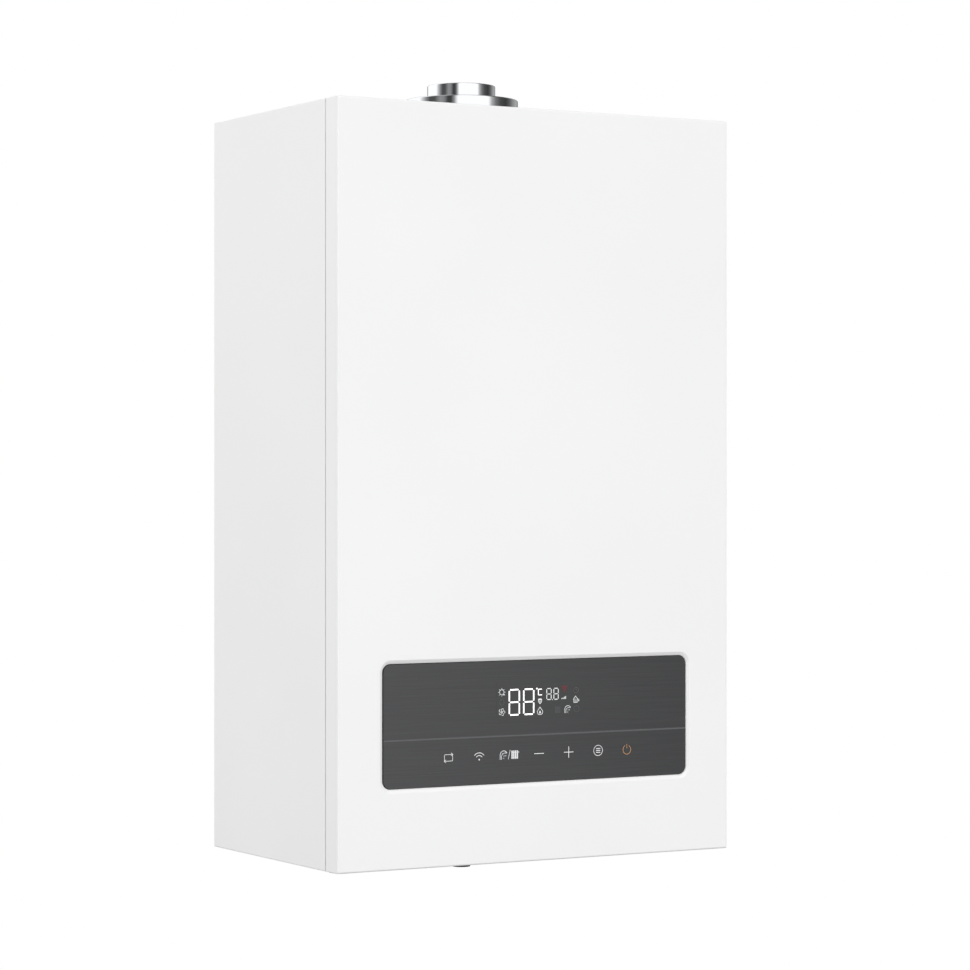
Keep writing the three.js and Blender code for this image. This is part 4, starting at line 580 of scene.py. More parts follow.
def side_panel(side, sign):
    """One side sheet. Its outline is carried up through levels near both ends where the outer skin
    draws in by R(1 - cos t) while the level moves by R(1 - sin t), a quarter circle, and the inner
    skin stays where it is."""
    front = SIDE_LOW[1]
    inner = HALF_WIDTH - SHEET
    outline = [
        (HALF_WIDTH - REAR_LIP, 0), (HALF_WIDTH - REAR_LIP, -SHEET), (inner, -SHEET),
        (inner, front + SHEET), (HALF_WIDTH - FRONT_LIP, front + SHEET),
        (HALF_WIDTH - FRONT_LIP, front), (HALF_WIDTH, front), (HALF_WIDTH, 0),
    ]
    outline = rounded([*outline, outline[0], outline[1]], FOLD_RADIUS, 3)[1:-4]
    across, deep = outline[:, 0], outline[:, 1]
    out_share = np.clip((across - inner) / SHEET, 0, 1)
    front_share = np.clip((front + SHEET - deep) / SHEET, 0, 1)
    rear_share = np.clip((deep + SHEET) / SHEET, 0, 1)
    turns = np.linspace(0, np.pi / 2, 5)
    levels = [(BOTTOM + END_RADIUS * (1 - math.sin(turn)), END_RADIUS * (1 - math.cos(turn)))
              for turn in turns[::-1]]
    levels += [(TOP + BOTTOM - level, inset) for level, inset in levels[::-1]]
    loops = [np.column_stack([sign * (across - inset * out_share),
                              deep + inset * (front_share - rear_share),
                              np.full(len(outline), level)]) for level, inset in levels]
    count = len(outline)
    faces = grid_faces(len(loops), count, False, True)
    faces += end_faces(count, len(loops))
    if sign > 0:
        faces = [tuple(reversed(side_face)) for side_face in faces]
    made = make_piece(f"folded_side_{side}", np.concatenate(loops), faces, POWDER_COAT, "root",
                      [f"side_panel_{side}"], flat=True)
    return made


for side_name, side_sign in (("left", -1), ("right", 1)):
    panel = side_panel(side_name, side_sign)
    print(panel.name, len(panel.data.vertices), "points")

# %% [markdown]
# ## Flue outlet
# The inner spigot carries the flue pipe, and the collar round it brings in air. Both are turned
# and polished, so their edges have small radii that hold a bright line.

# %% Flue outlet
SPIGOT_LOW, SPIGOT_HIGH = (np.array(corner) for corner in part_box("flue_spigot"))
COLLAR_LOW, COLLAR_HIGH = (np.array(corner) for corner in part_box("flue_collar"))
FLUE_CENTRE = ((SPIGOT_LOW[0] + SPIGOT_HIGH[0]) / 2, (SPIGOT_LOW[1] + SPIGOT_HIGH[1]) / 2, 0)
SPIGOT_RADIUS = (SPIGOT_HIGH[0] - SPIGOT_LOW[0]) / 2
FLANGE_RADIUS = (COLLAR_HIGH[0] - COLLAR_LOW[0]) / 2
COLLAR_RADIUS = 55 * MM
SPIGOT_WALL = 2.5 * MM
COLLAR_LIP = 4 * MM


def ring_profile(outline, radius):
    """A closed profile with every corner softened, for a turned ring."""
    return rounded([outline[-1], *outline, outline[0]], radius)[1:-1]


def flue_outlet():
    """Two turned rings. The spigot is a plain tube, and the collar is a tube with a flange at its
    foot and a lip turned in at its top. Each is its closed profile of (radius, height) turned once
    round the flue's axis."""
    low, high = SPIGOT_LOW[2], SPIGOT_HIGH[2]
    bore = SPIGOT_RADIUS - SPIGOT_WALL
    outline = [(bore, low), (SPIGOT_RADIUS, low), (SPIGOT_RADIUS, high), (bore, high)]
    spigot = make_piece("polished_spigot",
                        *turned("z", FLUE_CENTRE, ring_profile(outline, 0.9 * MM)),
                        POLISHED, "root", ["flue_spigot"])
    base, top = COLLAR_LOW[2], COLLAR_HIGH[2]
    wall = COLLAR_RADIUS - SPIGOT_WALL
    flange_top = base + 2 * MM
    outline = [
        (wall, base), (FLANGE_RADIUS, base), (FLANGE_RADIUS, flange_top),
        (COLLAR_RADIUS, flange_top), (COLLAR_RADIUS, top), (wall - COLLAR_LIP, top),
        (wall - COLLAR_LIP, top - SPIGOT_WALL), (wall, top - SPIGOT_WALL),
    ]
    collar = make_piece("polished_collar",
                        *turned("z", FLUE_CENTRE, ring_profile(outline, 1.3 * MM)),
                        POLISHED, "root", ["flue_collar"])
    return spigot, collar


print("flue pieces:", [made.name for made in flue_outlet()])

# %% [markdown]
# ## Touch panel
# The glass is one slab with a ground edge. A level line divides the display from the row of touch
# keys below it, and a slightly darker window covers the display. The printed and lit symbols are
# thin films just in front of the glass, drawn as strokes of even width.

# %% Touch panel glass
GLASS_FRONT = GLASS_LOW[1]
GLASS_EDGE = 0.35 * MM
FILM_GAP = 0.05 * MM
FILM_THICKNESS = 0.04 * MM


def panel_glass():
    """The slab as three loops: the rear, the front less its ground edge, and the front drawn in by
    the width of that edge, which makes the edge a slope of 45 degrees."""
    width, height = GLASS_HIGH[0] - GLASS_LOW[0], GLASS_HIGH[2] - GLASS_LOW[2]
    def loop(inset, y):
        """The slab's outline, drawn in from its edge, at one depth."""
        return at_depth(round_rectangle(WINDOW_MIDDLE, width - 2 * inset, height - 2 * inset,
                                        WINDOW_CORNER - WINDOW_GAP - inset, CORNER_STEPS), y)
    loops = [loop(0, GLASS_HIGH[1]), loop(0, GLASS_FRONT + GLASS_EDGE),
             loop(GLASS_EDGE, GLASS_FRONT)]
    spots = np.concatenate(loops)
    count = len(loops[0])
    faces = grid_faces(len(loops), count, False, True)
    faces += end_faces(count, len(loops))
    made = make_piece("touch_glass", spots, faces, TOUCH_GLASS, "control_unit", ["panel_glass"])
    return made


print("glass faces:", len(panel_glass().data.polygons))

# %% [markdown]
# ### Symbols
# A symbol is a list of strokes, each a row of points in millimetres from the panel's lower left
# corner of the casing: u to the right and z up. A stroke becomes a flat ribbon with mitred
# corners, so a whole symbol is a few hundred triangles.

# %% Symbol drawing
SYMBOL_LIFT = {"window": 0.0, "mark": 0.06 * MM}


def ribbon(points, width, closed=False):
    """A flat ribbon along a row of (u, z) points: each point is moved half the width to both
    sides along its mitre, which is the mean of the two sides' normals over its own length."""
    path = np.array(points, float)
    if closed:
        before, after = np.roll(path, 1, 0), np.roll(path, -1, 0)
    else:
        before = np.vstack([2 * path[0] - path[1], path[:-1]])
        after = np.vstack([path[1:], 2 * path[-1] - path[-2]])
    def normal(step):
        """A step turned a quarter turn to the left, at unit length."""
        step = step / np.linalg.norm(step, axis=1, keepdims=True)
        return np.stack([-step[:, 1], step[:, 0]], 1)
    first, second = normal(path - before), normal(after - path)
    mitre = first + second
    mitre = mitre / np.maximum((mitre ** 2).sum(1, keepdims=True) / 2, 0.5)
    left, right = path + mitre * width / 2, path - mitre * width / 2
    count = len(path)
    faces = []
    for j in range(count if closed else count - 1):
        k = (j + 1) % count
        faces.append((j, count + j, count + k, k))
    return np.vstack([left, right]), faces


def filled(points):
    """A filled outline as one face, wound to face the viewer."""
    outline = np.array(points, float)
    after = np.roll(outline, -1, 0)
    area = (outline[:, 0] * after[:, 1] - after[:, 0] * outline[:, 1]).sum()
    outline = outline if area > 0 else outline[::-1]
    return outline, [tuple(range(len(outline)))]


def curve(centre, radius, start, end, steps=20, squash=1.0):
    """Points round a circle or an upright ellipse, between two angles in degrees."""
    angle = np.radians(np.linspace(start, end, steps))
    return np.stack([centre[0] + radius * np.cos(angle),
                     centre[1] + radius * squash * np.sin(angle)], 1)


def circle(centre, radius, steps):
    """Points once round a circle. The last of the steps would repeat the first, so it goes."""
    return curve(centre, radius, 0, 360, steps)[:-1]


def hoop(centre, radius, steps, width):
    """A circle drawn as a closed ribbon."""
    return ribbon(circle(centre, radius, steps), width, True)


def film(name, parts, finish, lift):
    """Flat (u, z) shapes as a thin film on the glass: a front skin, a back skin and their edges."""
    flat, faces = [], []
    count = 0
    for spots, sides in parts:
        flat.append(spots)
        faces.extend(tuple(i + count for i in side) for side in sides)
        count += len(spots)
    flat = np.concatenate(flat)
    front = GLASS_FRONT - FILM_GAP - lift - FILM_THICKNESS
    x, z = flat[:, 0] * MM - HALF_WIDTH, flat[:, 1] * MM + BOTTOM
    skins = [np.stack([x, np.full(len(x), y), z], 1) for y in (front, front + FILM_THICKNESS)]
    back = [tuple(count + i for i in reversed(side)) for side in faces]
    edges = {}
    for side in faces:
        for a, b in zip(side, (*side[1:], side[0])):
            edges[(a, b)] = edges.get((a, b), 0) + 1
    walls = [(b, a, count + a, count + b) for a, b in edges if (b, a) not in edges]
    made = make_piece(name, np.vstack(skins), faces + back + walls, finish, "control_unit",
                      smooth=False)
    return made


# %% [markdown]
# ### Display
# The temperature is shown by two large seven-segment digits, and the water pressure by two small
# ones. A segment is a ribbon that stops short of its neighbours.

# %% Display
def rect(left, right, low, high):
    """A filled upright rectangle between two places across and two places up."""
    return filled([(left, low), (right, low), (right, high), (left, high)])


def digit(left, right, low, high, stroke, gap):
    """All seven segments of one digit, as bars between the corners of two stacked squares. Each
    end stops a gap away from the corner, so the neighbours don't touch."""
    left, right = left + stroke / 2, right - stroke / 2
    low, high = low + stroke / 2, high - stroke / 2
    middle = (low + high) / 2
    corners = [(left, high), (right, high), (right, middle), (right, low), (left, low),
               (left, middle)]
    pairs = [(0, 1), (1, 2), (2, 3), (3, 4), (4, 5), (5, 0), (5, 2)]
    parts = []
    for a, b in pairs:
        start, end = np.array(corners[a]), np.array(corners[b])
        step = (end - start) / np.linalg.norm(end - start) * gap
        parts.append(ribbon([start + step, end - step], stroke))
    return parts


def rays(centre, inner, outer, count, width):
    """Short strokes that point away from a centre."""
    angles = np.radians(np.arange(count) * 360 / count)
    return [ribbon([(centre[0] + inner * math.cos(a), centre[1] + inner * math.sin(a)),
                    (centre[0] + outer * math.cos(a), centre[1] + outer * math.sin(a))], width)
            for a in angles]


def shower(corner, size):
    """A shower in outline: two arcs rise side by side from the lower left and bend over to the
    right, a short bar joins their ends, and three drops fall under it. The corner is the lower
    left one and the size is the height, both in millimetres."""
    def at(across, up):
        """A place in the symbol, as shares of its size from its corner."""
        return corner[0] + size * across, corner[1] + size * up
    outer = np.vstack([[at(0.02, 0)], curve(at(0.50, 0.52), size * 0.48, 182, 28, 16)])
    inner = np.vstack([[at(0.20, 0)], curve(at(0.64, 0.30), size * 0.45, 180, 88, 10)])
    parts = [ribbon(outer, size * 0.07), ribbon(inner, size * 0.06),
             ribbon([outer[-1], inner[-1]], size * 0.06)]
    for across, up in ((0.56, 0.50), (0.80, 0.52), (0.52, 0.22)):
        parts.append(ribbon([at(across, up), at(across - 0.04, up - 0.16)], size * 0.06))
    return parts


def display():
    """The window over the display, the divider line, and the digits and small signs, each drawn at
    its measured place in millimetres."""
    film("display_window", [filled(round_rectangle((213, 150.9), 94, 32.8, 1.2))], DISPLAY_GLASS,
         SYMBOL_LIFT["window"])
    film("divider_line", [rect(47.6, 374.4, 116.7, 118.2)], DIVIDER_INK, SYMBOL_LIFT["window"])
    digits = digit(178.9, 191.0, 136.0, 160.6, 1.35, 0.95)
    digits += digit(194.4, 206.5, 136.0, 160.6, 1.35, 0.95)
    digits += [hoop((209.3, 160.2), 0.6, 15, 0.45),
               ribbon([(214.9, 159.6), (211.4, 159.6), (210.9, 159.1), (210.9, 154.7),
                       (211.4, 154.2), (214.9, 154.2)], 0.75)]
    film("display_digits", digits, SEGMENT_INK, SYMBOL_LIFT["mark"])

    small = digit(219.6, 225.3, 149.2, 160.3, 0.85, 0.6)
    small += digit(227.3, 233.0, 149.2, 160.3, 0.85, 0.6)
    small += [filled(circle((226.3, 149.5), 0.5, 13))]
    sun = [hoop((171.5, 158.0), 2.4, 25, 0.5)]
    sun += rays((171.5, 158.0), 3.1, 3.8, 8, 0.45) + [ribbon([(173.2, 155.6), (174.8, 155.6)], 0.9)]
    fan = [hoop((171.6, 139.6), 0.7, 13, 0.5)]
    for turn in range(0, 360, 72):
        tip = np.radians(turn)
        middle = (171.6 + 2.1 * math.cos(tip), 139.6 + 2.1 * math.sin(tip))
        fan.append(ribbon(curve(middle, 1.15, turn - 60, turn + 150, 9), 0.5))
    shield = [filled([(210.7, 150.5), (212.7, 151.0), (214.7, 150.5), (214.7, 149.2),
                      (210.7, 149.2)]),
              ribbon([(211.0, 149.3), (211.2, 147.6), (212.7, 146.0), (214.2, 147.6),
                      (214.4, 149.3)], 0.6),
              ribbon([(211.6, 147.9), (213.8, 147.9)], 0.5)]
    flame = [ribbon([(212.7, 143.0), (214.4, 140.7), (215.6, 138.9), (215.3, 137.0), (214.0, 135.9),
                     (211.4, 135.9), (210.1, 137.0), (209.8, 138.9), (211.0, 140.7)], 0.55, True),
             filled([(212.7, 139.9), (213.7, 138.1), (213.3, 136.9), (212.1, 136.9),
                     (211.7, 138.1)])]
    house = [ribbon([(248.9, 148.8), (251.5, 151.9), (254.1, 148.8)], 0.5),
             ribbon([(249.6, 149.2), (249.6, 146.0), (253.4, 146.0), (253.4, 149.2)], 0.5),
             ribbon([(250.9, 146.0), (250.9, 149.8)], 0.4),
             ribbon([(252.1, 146.0), (252.1, 148.6)], 0.4),
             ribbon([(254.9, 146.8), (254.9, 149.2)], 0.6),
             ribbon([(254.2, 148.0), (255.7, 148.0)], 0.5)]
    level = [rect(at, at + 0.8, 149.6, top)
             for at, top in ((236.0, 150.5), (237.4, 151.0), (238.8, 151.6), (240.2, 152.2))]
    film("display_icons",
         small + sun + fan + shield + flame + house + level + shower((239.6, 136.3), 6.9),
         KEY_INK, SYMBOL_LIFT["mark"])
    warning = [filled([(235.5, 162.0), (239.3, 154.9), (243.1, 162.0)])]
    film("display_warning", warning, WARNING_INK, SYMBOL_LIFT["mark"])
    ghosts = [hoop((252, 157.5), 2.6, 21, 0.5),
              ribbon([(252, 157.5), (252, 159.4)], 0.5),
              ribbon([(252, 157.5), (253.3, 157.5)], 0.5),
              hoop((171.6, 148.6), 2.4, 21, 0.5),
              hoop((252.5, 140), 2.8, 21, 0.5)]
    ghosts += [ribbon([(at, 136.8), (at, 143.0)], 0.7) for at in np.linspace(229.4, 234.2, 5)]
    film("display_unlit", ghosts, GHOST_INK, SYMBOL_LIFT["mark"])


display()

# %% [markdown]
# ### Touch keys
# Seven keys in one level row: a loop of two arrows, a radio link, shower or radiator, less, more,
# a round menu key and the power key, which is amber.

# %% Touch keys
KEY_LEVEL = 99.7


def touch_keys():
    """The seven keys. Arcs are parts of circles round the key's middle, and the second half of the
    loop of arrows is the first half with both of its signs changed."""
    centre = np.array([115, KEY_LEVEL])
    loop = np.array([(-4.3, -2.6), (-4.3, 2.4), (-3.8, 3.0), (3.6, 3.0)])
    arrow = np.array([(2.9, 4.4), (4.5, 3.0), (2.9, 1.7)])
    strokes = []
    for sign in (1, -1):
        strokes.append(ribbon(centre + sign * loop, 0.45))
        strokes.append(ribbon(centre + sign * arrow, 0.5))
    for radius, width in ((3.9, 0.6), (6.4, 0.6)):
        strokes.append(ribbon(curve((147.4, 96.6), radius, 38, 142, 20), width))
    strokes.append(filled(circle((147.4, 96.7), 0.75, 15)))
    strokes += shower((169.6, 95.7), 8.0)
    strokes.append(ribbon([(178.4, 95.7), (180.4, 104.2)], 0.45))
    for bar_at in np.linspace(182.5, 188.2, 4):
        strokes.append(rect(bar_at - 0.65, bar_at + 0.65, 95.9, 103.6))
    strokes += [ribbon([(181.7, 97.2), (188.9, 97.2)], 0.6),
                ribbon([(181.7, 102.0), (190.2, 102.0)], 0.7)]
    strokes.append(rect(206.4, 217.0, KEY_LEVEL - 0.32, KEY_LEVEL + 0.32))
    strokes.append(rect(238.7, 249.3, KEY_LEVEL - 0.32, KEY_LEVEL + 0.32))
    strokes.append(rect(243.68, 244.32, KEY_LEVEL + 0.32, KEY_LEVEL + 5.3))
    strokes.append(rect(243.68, 244.32, KEY_LEVEL - 5.3, KEY_LEVEL - 0.32))
    strokes.append(hoop((276.4, KEY_LEVEL + 0.2), 4.85, 41, 0.5))
    for level in (-1.6, 0.2, 2.0):
        strokes.append(ribbon([(274.2, KEY_LEVEL + level), (278.8, KEY_LEVEL + level)], 0.7))
    film("touch_key_symbols", strokes, KEY_INK, SYMBOL_LIFT["mark"])
    power = [ribbon(curve((308.4, 99.4), 4.3, 118, 422, 34), 0.5),
             ribbon([(308.4, 100.6), (308.4, 104.6)], 0.5)]
    film("power_key_symbol", power, AMBER_INK, SYMBOL_LIFT["mark"])


touch_keys()
print("symbols drawn")

# %% [markdown]
# ## Finishes of the carried solids
# A solid whose shape is already right keeps its mesh and takes its finish from its material slot
# in the record. One node group welds the loose triangles and shades the curved faces smoothly, and
# a small bevel softens the edges, so they catch light as real edges do.

# %% Carried solids
EDGE_WIDTH = 0.5 * MM
WELD_DISTANCE = 0.01 * MM


def smoothing_group():
    """Geometry nodes: merge near vertices, then shade smooth every edge under the smooth angle."""
    group = bpy.data.node_groups.new("weld_and_smooth", "GeometryNodeTree")
    group.interface.new_socket("Geometry", in_out="INPUT", socket_type="NodeSocketGeometry")
    group.interface.new_socket("Geometry", in_out="OUTPUT", socket_type="NodeSocketGeometry")
    start, end = add(group, "NodeGroupInput"), add(group, "NodeGroupOutput")
    merged = add(group, "GeometryNodeMergeByDistance", Geometry=start.outputs[0],
                 Distance=WELD_DISTANCE)
    bend = add(group, "GeometryNodeInputMeshEdgeAngle")
    soft = add(group, "FunctionNodeCompare", {"operation": "LESS_THAN"},
               in0=bend.outputs["Unsigned Angle"], in1=SMOOTH_ANGLE)
    edges = add(group, "GeometryNodeSetShadeSmooth", {"domain": "EDGE"},
                Geometry=merged.outputs["Geometry"], Shade_Smooth=soft.outputs["Result"])
    faces = add(group, "GeometryNodeSetShadeSmooth", {"domain": "FACE"},
                Geometry=edges.outputs["Geometry"])
    group.links.new(faces.outputs["Geometry"], end.inputs[0])
    return group


SMOOTHING = smoothing_group()


def dress_solid(name, solid):
    """Give a carried solid the finish of its slot, and weld, smooth and soften it."""
    slot_name = solid.material_slots[0].material.name
    solid.material_slots[0].material = FINISH_OF_SLOT[slot_name]
    solid.modifiers.new("weld_and_smooth", "NODES").node_group = SMOOTHING
    edge = solid.modifiers.new("edge", "BEVEL")
    edge.width = EDGE_WIDTH
    edge.segments = 2
    edge.limit_method = "ANGLE"
    edge.angle_limit = SMOOTH_ANGLE
    edge.use_clamp_overlap = True
    edge.harden_normals = True


for solid_name, solid_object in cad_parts.items():
    dress_solid(solid_name, solid_object)
print(len(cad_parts), "solids dressed")

# %% [markdown]
# ## Pipes and hoses
# Drawn pipe is a circle swept along straight runs and bends. Each inner corner of the route is
# replaced by an arc that touches both runs, and each ring of points is turned with the path so
# that the skin doesn't twist. Places are given in millimetres: x from the middle, y from the wall
# (minus to the front) and z above the casing's bottom. The five connections stand in one row at
# AXIS_DEPTH, which several pipes and the last tube of the heat exchanger share.

# %% Pipe helpers
def at(x, y, z):
    """A place in millimetres from the middle, the wall and the casing's bottom, in the frame."""
    return np.array([x * MM, y * MM, BOTTOM + z * MM])


LONGEST_REACH = 0.49
ASKEW = (0.31, 0.57, 0.76)


def route(corners, bend, steps=12):
    """A path whose corners are arcs: for a turn t, the arc starts bend times tan(t / 2) before
    the corner, and its points lie on the circle that touches both runs. The arc is made smaller
    where it would take up more than 0.49 of a run."""
    corners = [np.array(corner, float) for corner in corners]
    points = [corners[0]]
    for before, corner, after in zip(corners, corners[1:], corners[2:]):
        back = (before - corner) / np.linalg.norm(before - corner)
        on = (after - corner) / np.linalg.norm(after - corner)
        half = math.acos(np.clip(-back @ on, -1, 1)) / 2
        reach = min(bend * math.tan(half), LONGEST_REACH * np.linalg.norm(before - corner),
                    LONGEST_REACH * np.linalg.norm(after - corner))
        radius = reach / math.tan(half)
        middle = (back + on) / np.linalg.norm(back + on)
        centre = corner + middle * math.hypot(radius, reach)
        first, last = corner + back * reach - centre, corner + on * reach - centre
        for share in np.linspace(0, 1, steps + 1):
            turn = 2 * half
            mix = (np.sin((1 - share) * turn) * first + np.sin(share * turn) * last) / np.sin(turn)
            points.append(centre + mix)
    points.append(corners[-1])
    return np.array(points)


def tube(path, radius, sides=32):
    """A closed tube: the ring's axes are carried along the path by removing from the last one its
    part along the new direction. The first one is square to a direction that no run takes."""
    path = np.asarray(path, float)
    steps = np.gradient(path, axis=0)
    steps[0], steps[-1] = path[1] - path[0], path[-1] - path[-2]
    steps /= np.linalg.norm(steps, axis=1, keepdims=True)
    up = np.cross(steps[0], ASKEW)
    rings = []
    angle = np.linspace(0, 2 * np.pi, sides, endpoint=False)[:, None]
    for place, ahead in zip(path, steps):
        up = up - ahead * (up @ ahead)
        up /= np.linalg.norm(up)
        side = np.cross(ahead, up)
        rings.append(place + radius * (np.cos(angle) * up + np.sin(angle) * side))
    faces = grid_faces(len(path), sides, False, True)
    faces += end_faces(sides, len(path))
    return np.concatenate(rings), [tuple(reversed(face)) for face in faces]


BRAID_PITCH = 1.9635 * MM


def braided_steel():
    """Woven wire: two crossing sets of waves along the hose raise the surface. At a scale of 1 the
    wave repeats every 2 pi / 20 metres, so the scale is that length over the real pitch."""
    made, tree, shader = new_material("braided_steel_hose", "#A9ACAF", 0.34, 1.0)
    where = place_of(tree)
    heights = []
    for direction in ("DIAGONAL", "Z"):
        wave = add(tree, "ShaderNodeTexWave", {"bands_direction": direction}, Vector=where,
                   Scale=2 * math.pi / 20 / BRAID_PITCH, Distortion=0.0)
        heights.append(wave.outputs["Fac"])
    both = add(tree, "ShaderNodeMath", {"operation": "MAXIMUM"}, in0=heights[0], in1=heights[1])
    bump = add(tree, "ShaderNodeBump", Height=both.outputs[0], Strength=0.6, Distance=0.4 * MM)
    tree.links.new(bump.outputs["Normal"], shader.inputs["Normal"])
    tint(tree, shader, where, 3, "#96999C", "#B4B7BA")
    return made


BRAID = braided_steel()
PIPE_RADIUS, HOSE_RADIUS, GAS_PIPE_RADIUS = 8 * MM, 4 * MM, 7 * MM
PIPE_BEND = 22 * MM
AXIS_DEPTH = -113
TUBE_LEVEL = 470.3
RUNS = {
    "heating_flow_pipe": ([at(-131.8, -201, TUBE_LEVEL), at(-150, -201, TUBE_LEVEL),
                           at(-150, -201, 249.5), at(-150, AXIS_DEPTH, 205.5),
                           at(-150, AXIS_DEPTH, 75.3)], PIPE_RADIUS, COPPER, "copper"),
    "heating_return_pipe": ([at(130, -95, 184.3), at(130, -95, 206), at(150, AXIS_DEPTH, 249.5),
                             at(150, AXIS_DEPTH, TUBE_LEVEL), at(131.8, AXIS_DEPTH, TUBE_LEVEL)],
                            PIPE_RADIUS, COPPER, "copper"),
    "gas_pipe": ([at(0, -119, 142.3), at(0, -119, 232), at(0, -233, 232), at(0, -233, 255.7)],
                 GAS_PIPE_RADIUS, COPPER, "copper"),
    "vessel_hose": ([at(0, -44.5, 205.7), at(0, -44.5, 184), at(58, AXIS_DEPTH, 152),
                     at(58, AXIS_DEPTH, 75.3)], HOSE_RADIUS, BRAID, "stainless"),
    "pressure_hose": ([at(183.5, -150, 623), at(127.9, -150, 623), at(127.9, AXIS_DEPTH, 601),
                       at(66, AXIS_DEPTH, 601)], HOSE_RADIUS, SILICONE, "rubber"),
}


def hex_nut(axis, centre, width, start, end):
    """A six-sided nut whose corners are turned down at both ends by a short cone."""
    turns = np.radians(np.arange(6) * 60 + 30)
    ring = np.stack([np.cos(turns), np.sin(turns)], 1)
    chamfer = 0.12 * width
    rows = [(width / 2 - chamfer / 2, start), (width / 2, start + chamfer / 2),
            (width / 2, end - chamfer / 2), (width / 2 - chamfer / 2, end)]
    spots = np.concatenate([np.column_stack([ring * reach, np.full(6, level)])
                            for reach, level in rows])
    faces = grid_faces(4, 6, False, True) + end_faces(6, 4)
    return to_axis(spots, axis) + np.array(centre), faces


def dress_pipes():
    """Each run is a circle carried along its route, whose corners are arcs of the bend radius. The
    union nuts stand at the ends of the runs, where the real ones are screwed up."""
    for name, (corners, radius, finish, slot_name) in RUNS.items():
        spots, faces = tube(route(corners, PIPE_BEND), radius)
        made = make_piece(f"{name}_run", spots, faces, finish, "root", [name])
    nuts = [
        hex_nut("z", at(-150, AXIS_DEPTH, 0), 26 * MM, 75.3 * MM, 87 * MM),
        hex_nut("z", at(130, -95, 0), 26 * MM, 184.3 * MM, 196 * MM),
        hex_nut("z", at(0, -119, 0), 24 * MM, 142.3 * MM, 153 * MM),
        hex_nut("z", at(0, -233, 0), 22 * MM, 245 * MM, 255.7 * MM),
        hex_nut("z", at(58, AXIS_DEPTH, 0), 15 * MM, 75.3 * MM, 85 * MM),
        hex_nut("z", at(0, -44.5, 0), 17 * MM, 196 * MM, 205.7 * MM),
    ]
    made = make_piece("union_nuts", *join_parts(*nuts), BRASS, "root", bevel=0.3 * MM)


dress_pipes()
print("pipes and hoses:", ", ".join(RUNS))

# %% [markdown]
# ## Heat exchanger
# The finned block is copper: thin fins every 4 mm with five tubes through them, joined by bends
# outside the chamber's walls.

# %% Heat exchanger
TUBE_ROWS = [-201, -179, -157, -135, AXIS_DEPTH]
FIN_SPACING = 4


def box_part(low, high):
    """The eight corners and six faces of a box between two corners."""
    (x0, y0, z0), (x1, y1, z1) = low, high
    spots = [(x0, y0, z0), (x1, y0, z0), (x1, y1, z0), (x0, y1, z0),
             (x0, y0, z1), (x1, y0, z1), (x1, y1, z1), (x0, y1, z1)]
    return spots, [(0, 3, 2, 1), (4, 5, 6, 7), (0, 1, 5, 4), (1, 2, 6, 5), (2, 3, 7, 6),
                   (3, 0, 4, 7)]


def heat_exchanger():
    """Fins 0.7 mm thick every 4 mm from end to end, five straight tubes through them, and a
    bend that joins each tube to the next one, at the left and the right in turn."""
    parts = [box_part(at(x - 0.35, -224.8, 446.3), at(x + 0.35, -90.3, 494.3))
             for x in np.arange(-118, 119, FIN_SPACING)]
    for y in TUBE_ROWS:
        parts.append(tube(np.array([at(-131.5, y, TUBE_LEVEL), at(131.5, y, TUBE_LEVEL)]),
                          PIPE_RADIUS, 28))
    for i, y in enumerate(TUBE_ROWS[1:]):
        sign = -1 if i % 2 else 1
        corners = [at(sign * 123.5, y - 22, TUBE_LEVEL), at(sign * 139.5, y - 22, TUBE_LEVEL),
                   at(sign * 139.5, y, TUBE_LEVEL), at(sign * 123.5, y, TUBE_LEVEL)]
        parts.append(tube(route(corners, 10.9 * MM, 8), PIPE_RADIUS - 0.2 * MM, 28))
    made = make_piece("finned_exchanger", *join_parts(*parts), COPPER, "root", ["heat_exchanger"])


heat_exchanger()

# %% [markdown]
# ## Turned and moulded pieces
# Motors, valves, fittings and the expansion vessel are bodies of revolution. Each profile is a
# row of (radius, place along the axis) in millimetres, with every corner softened by a small
# curve. Fittings that hang below the casing carry a thread, drawn as a ripple of real pitch.

# %% Turned pieces
def turned_piece(name, nodes, axis, centre, profile, finish, soft=0.6, closed=False,
                 steps=72, extra=(), body="root"):
    """One turned piece, with other closed parts joined to it where the real one is one casting."""
    outline = [(radius * MM, place * MM) for radius, place in profile]
    outline = ring_profile(outline, soft * MM) if closed else rounded(outline, soft * MM, 3)
    parts = [turned(axis, centre, outline, steps), *extra]
    made = make_piece(name, *join_parts(*parts), finish, body, nodes)
    return made


def grooves(radius, start, end, count, depth):
    """A row of shallow grooves along a cylinder, as profile points."""
    pitch = (end - start) / count
    points = []
    for i in range(count):
        place = start + i * pitch
        points += [(radius, place), (radius, place + 0.5 * pitch),
                   (radius - depth, place + 0.6 * pitch),
                   (radius - depth, place + 0.9 * pitch)]
    return points + [(radius, end)]


THREAD_DEPTH = 0.55


def thread(radius, start, end, pitch):
    """A thread as a ripple: the radius falls and rises once in each pitch."""
    count = int((end - start) / pitch)
    points = []
    for i in range(count):
        points += [(radius - THREAD_DEPTH, start + i * pitch),
                   (radius, start + (i + 0.5) * pitch)]
    return points + [(radius - THREAD_DEPTH, start + count * pitch)]


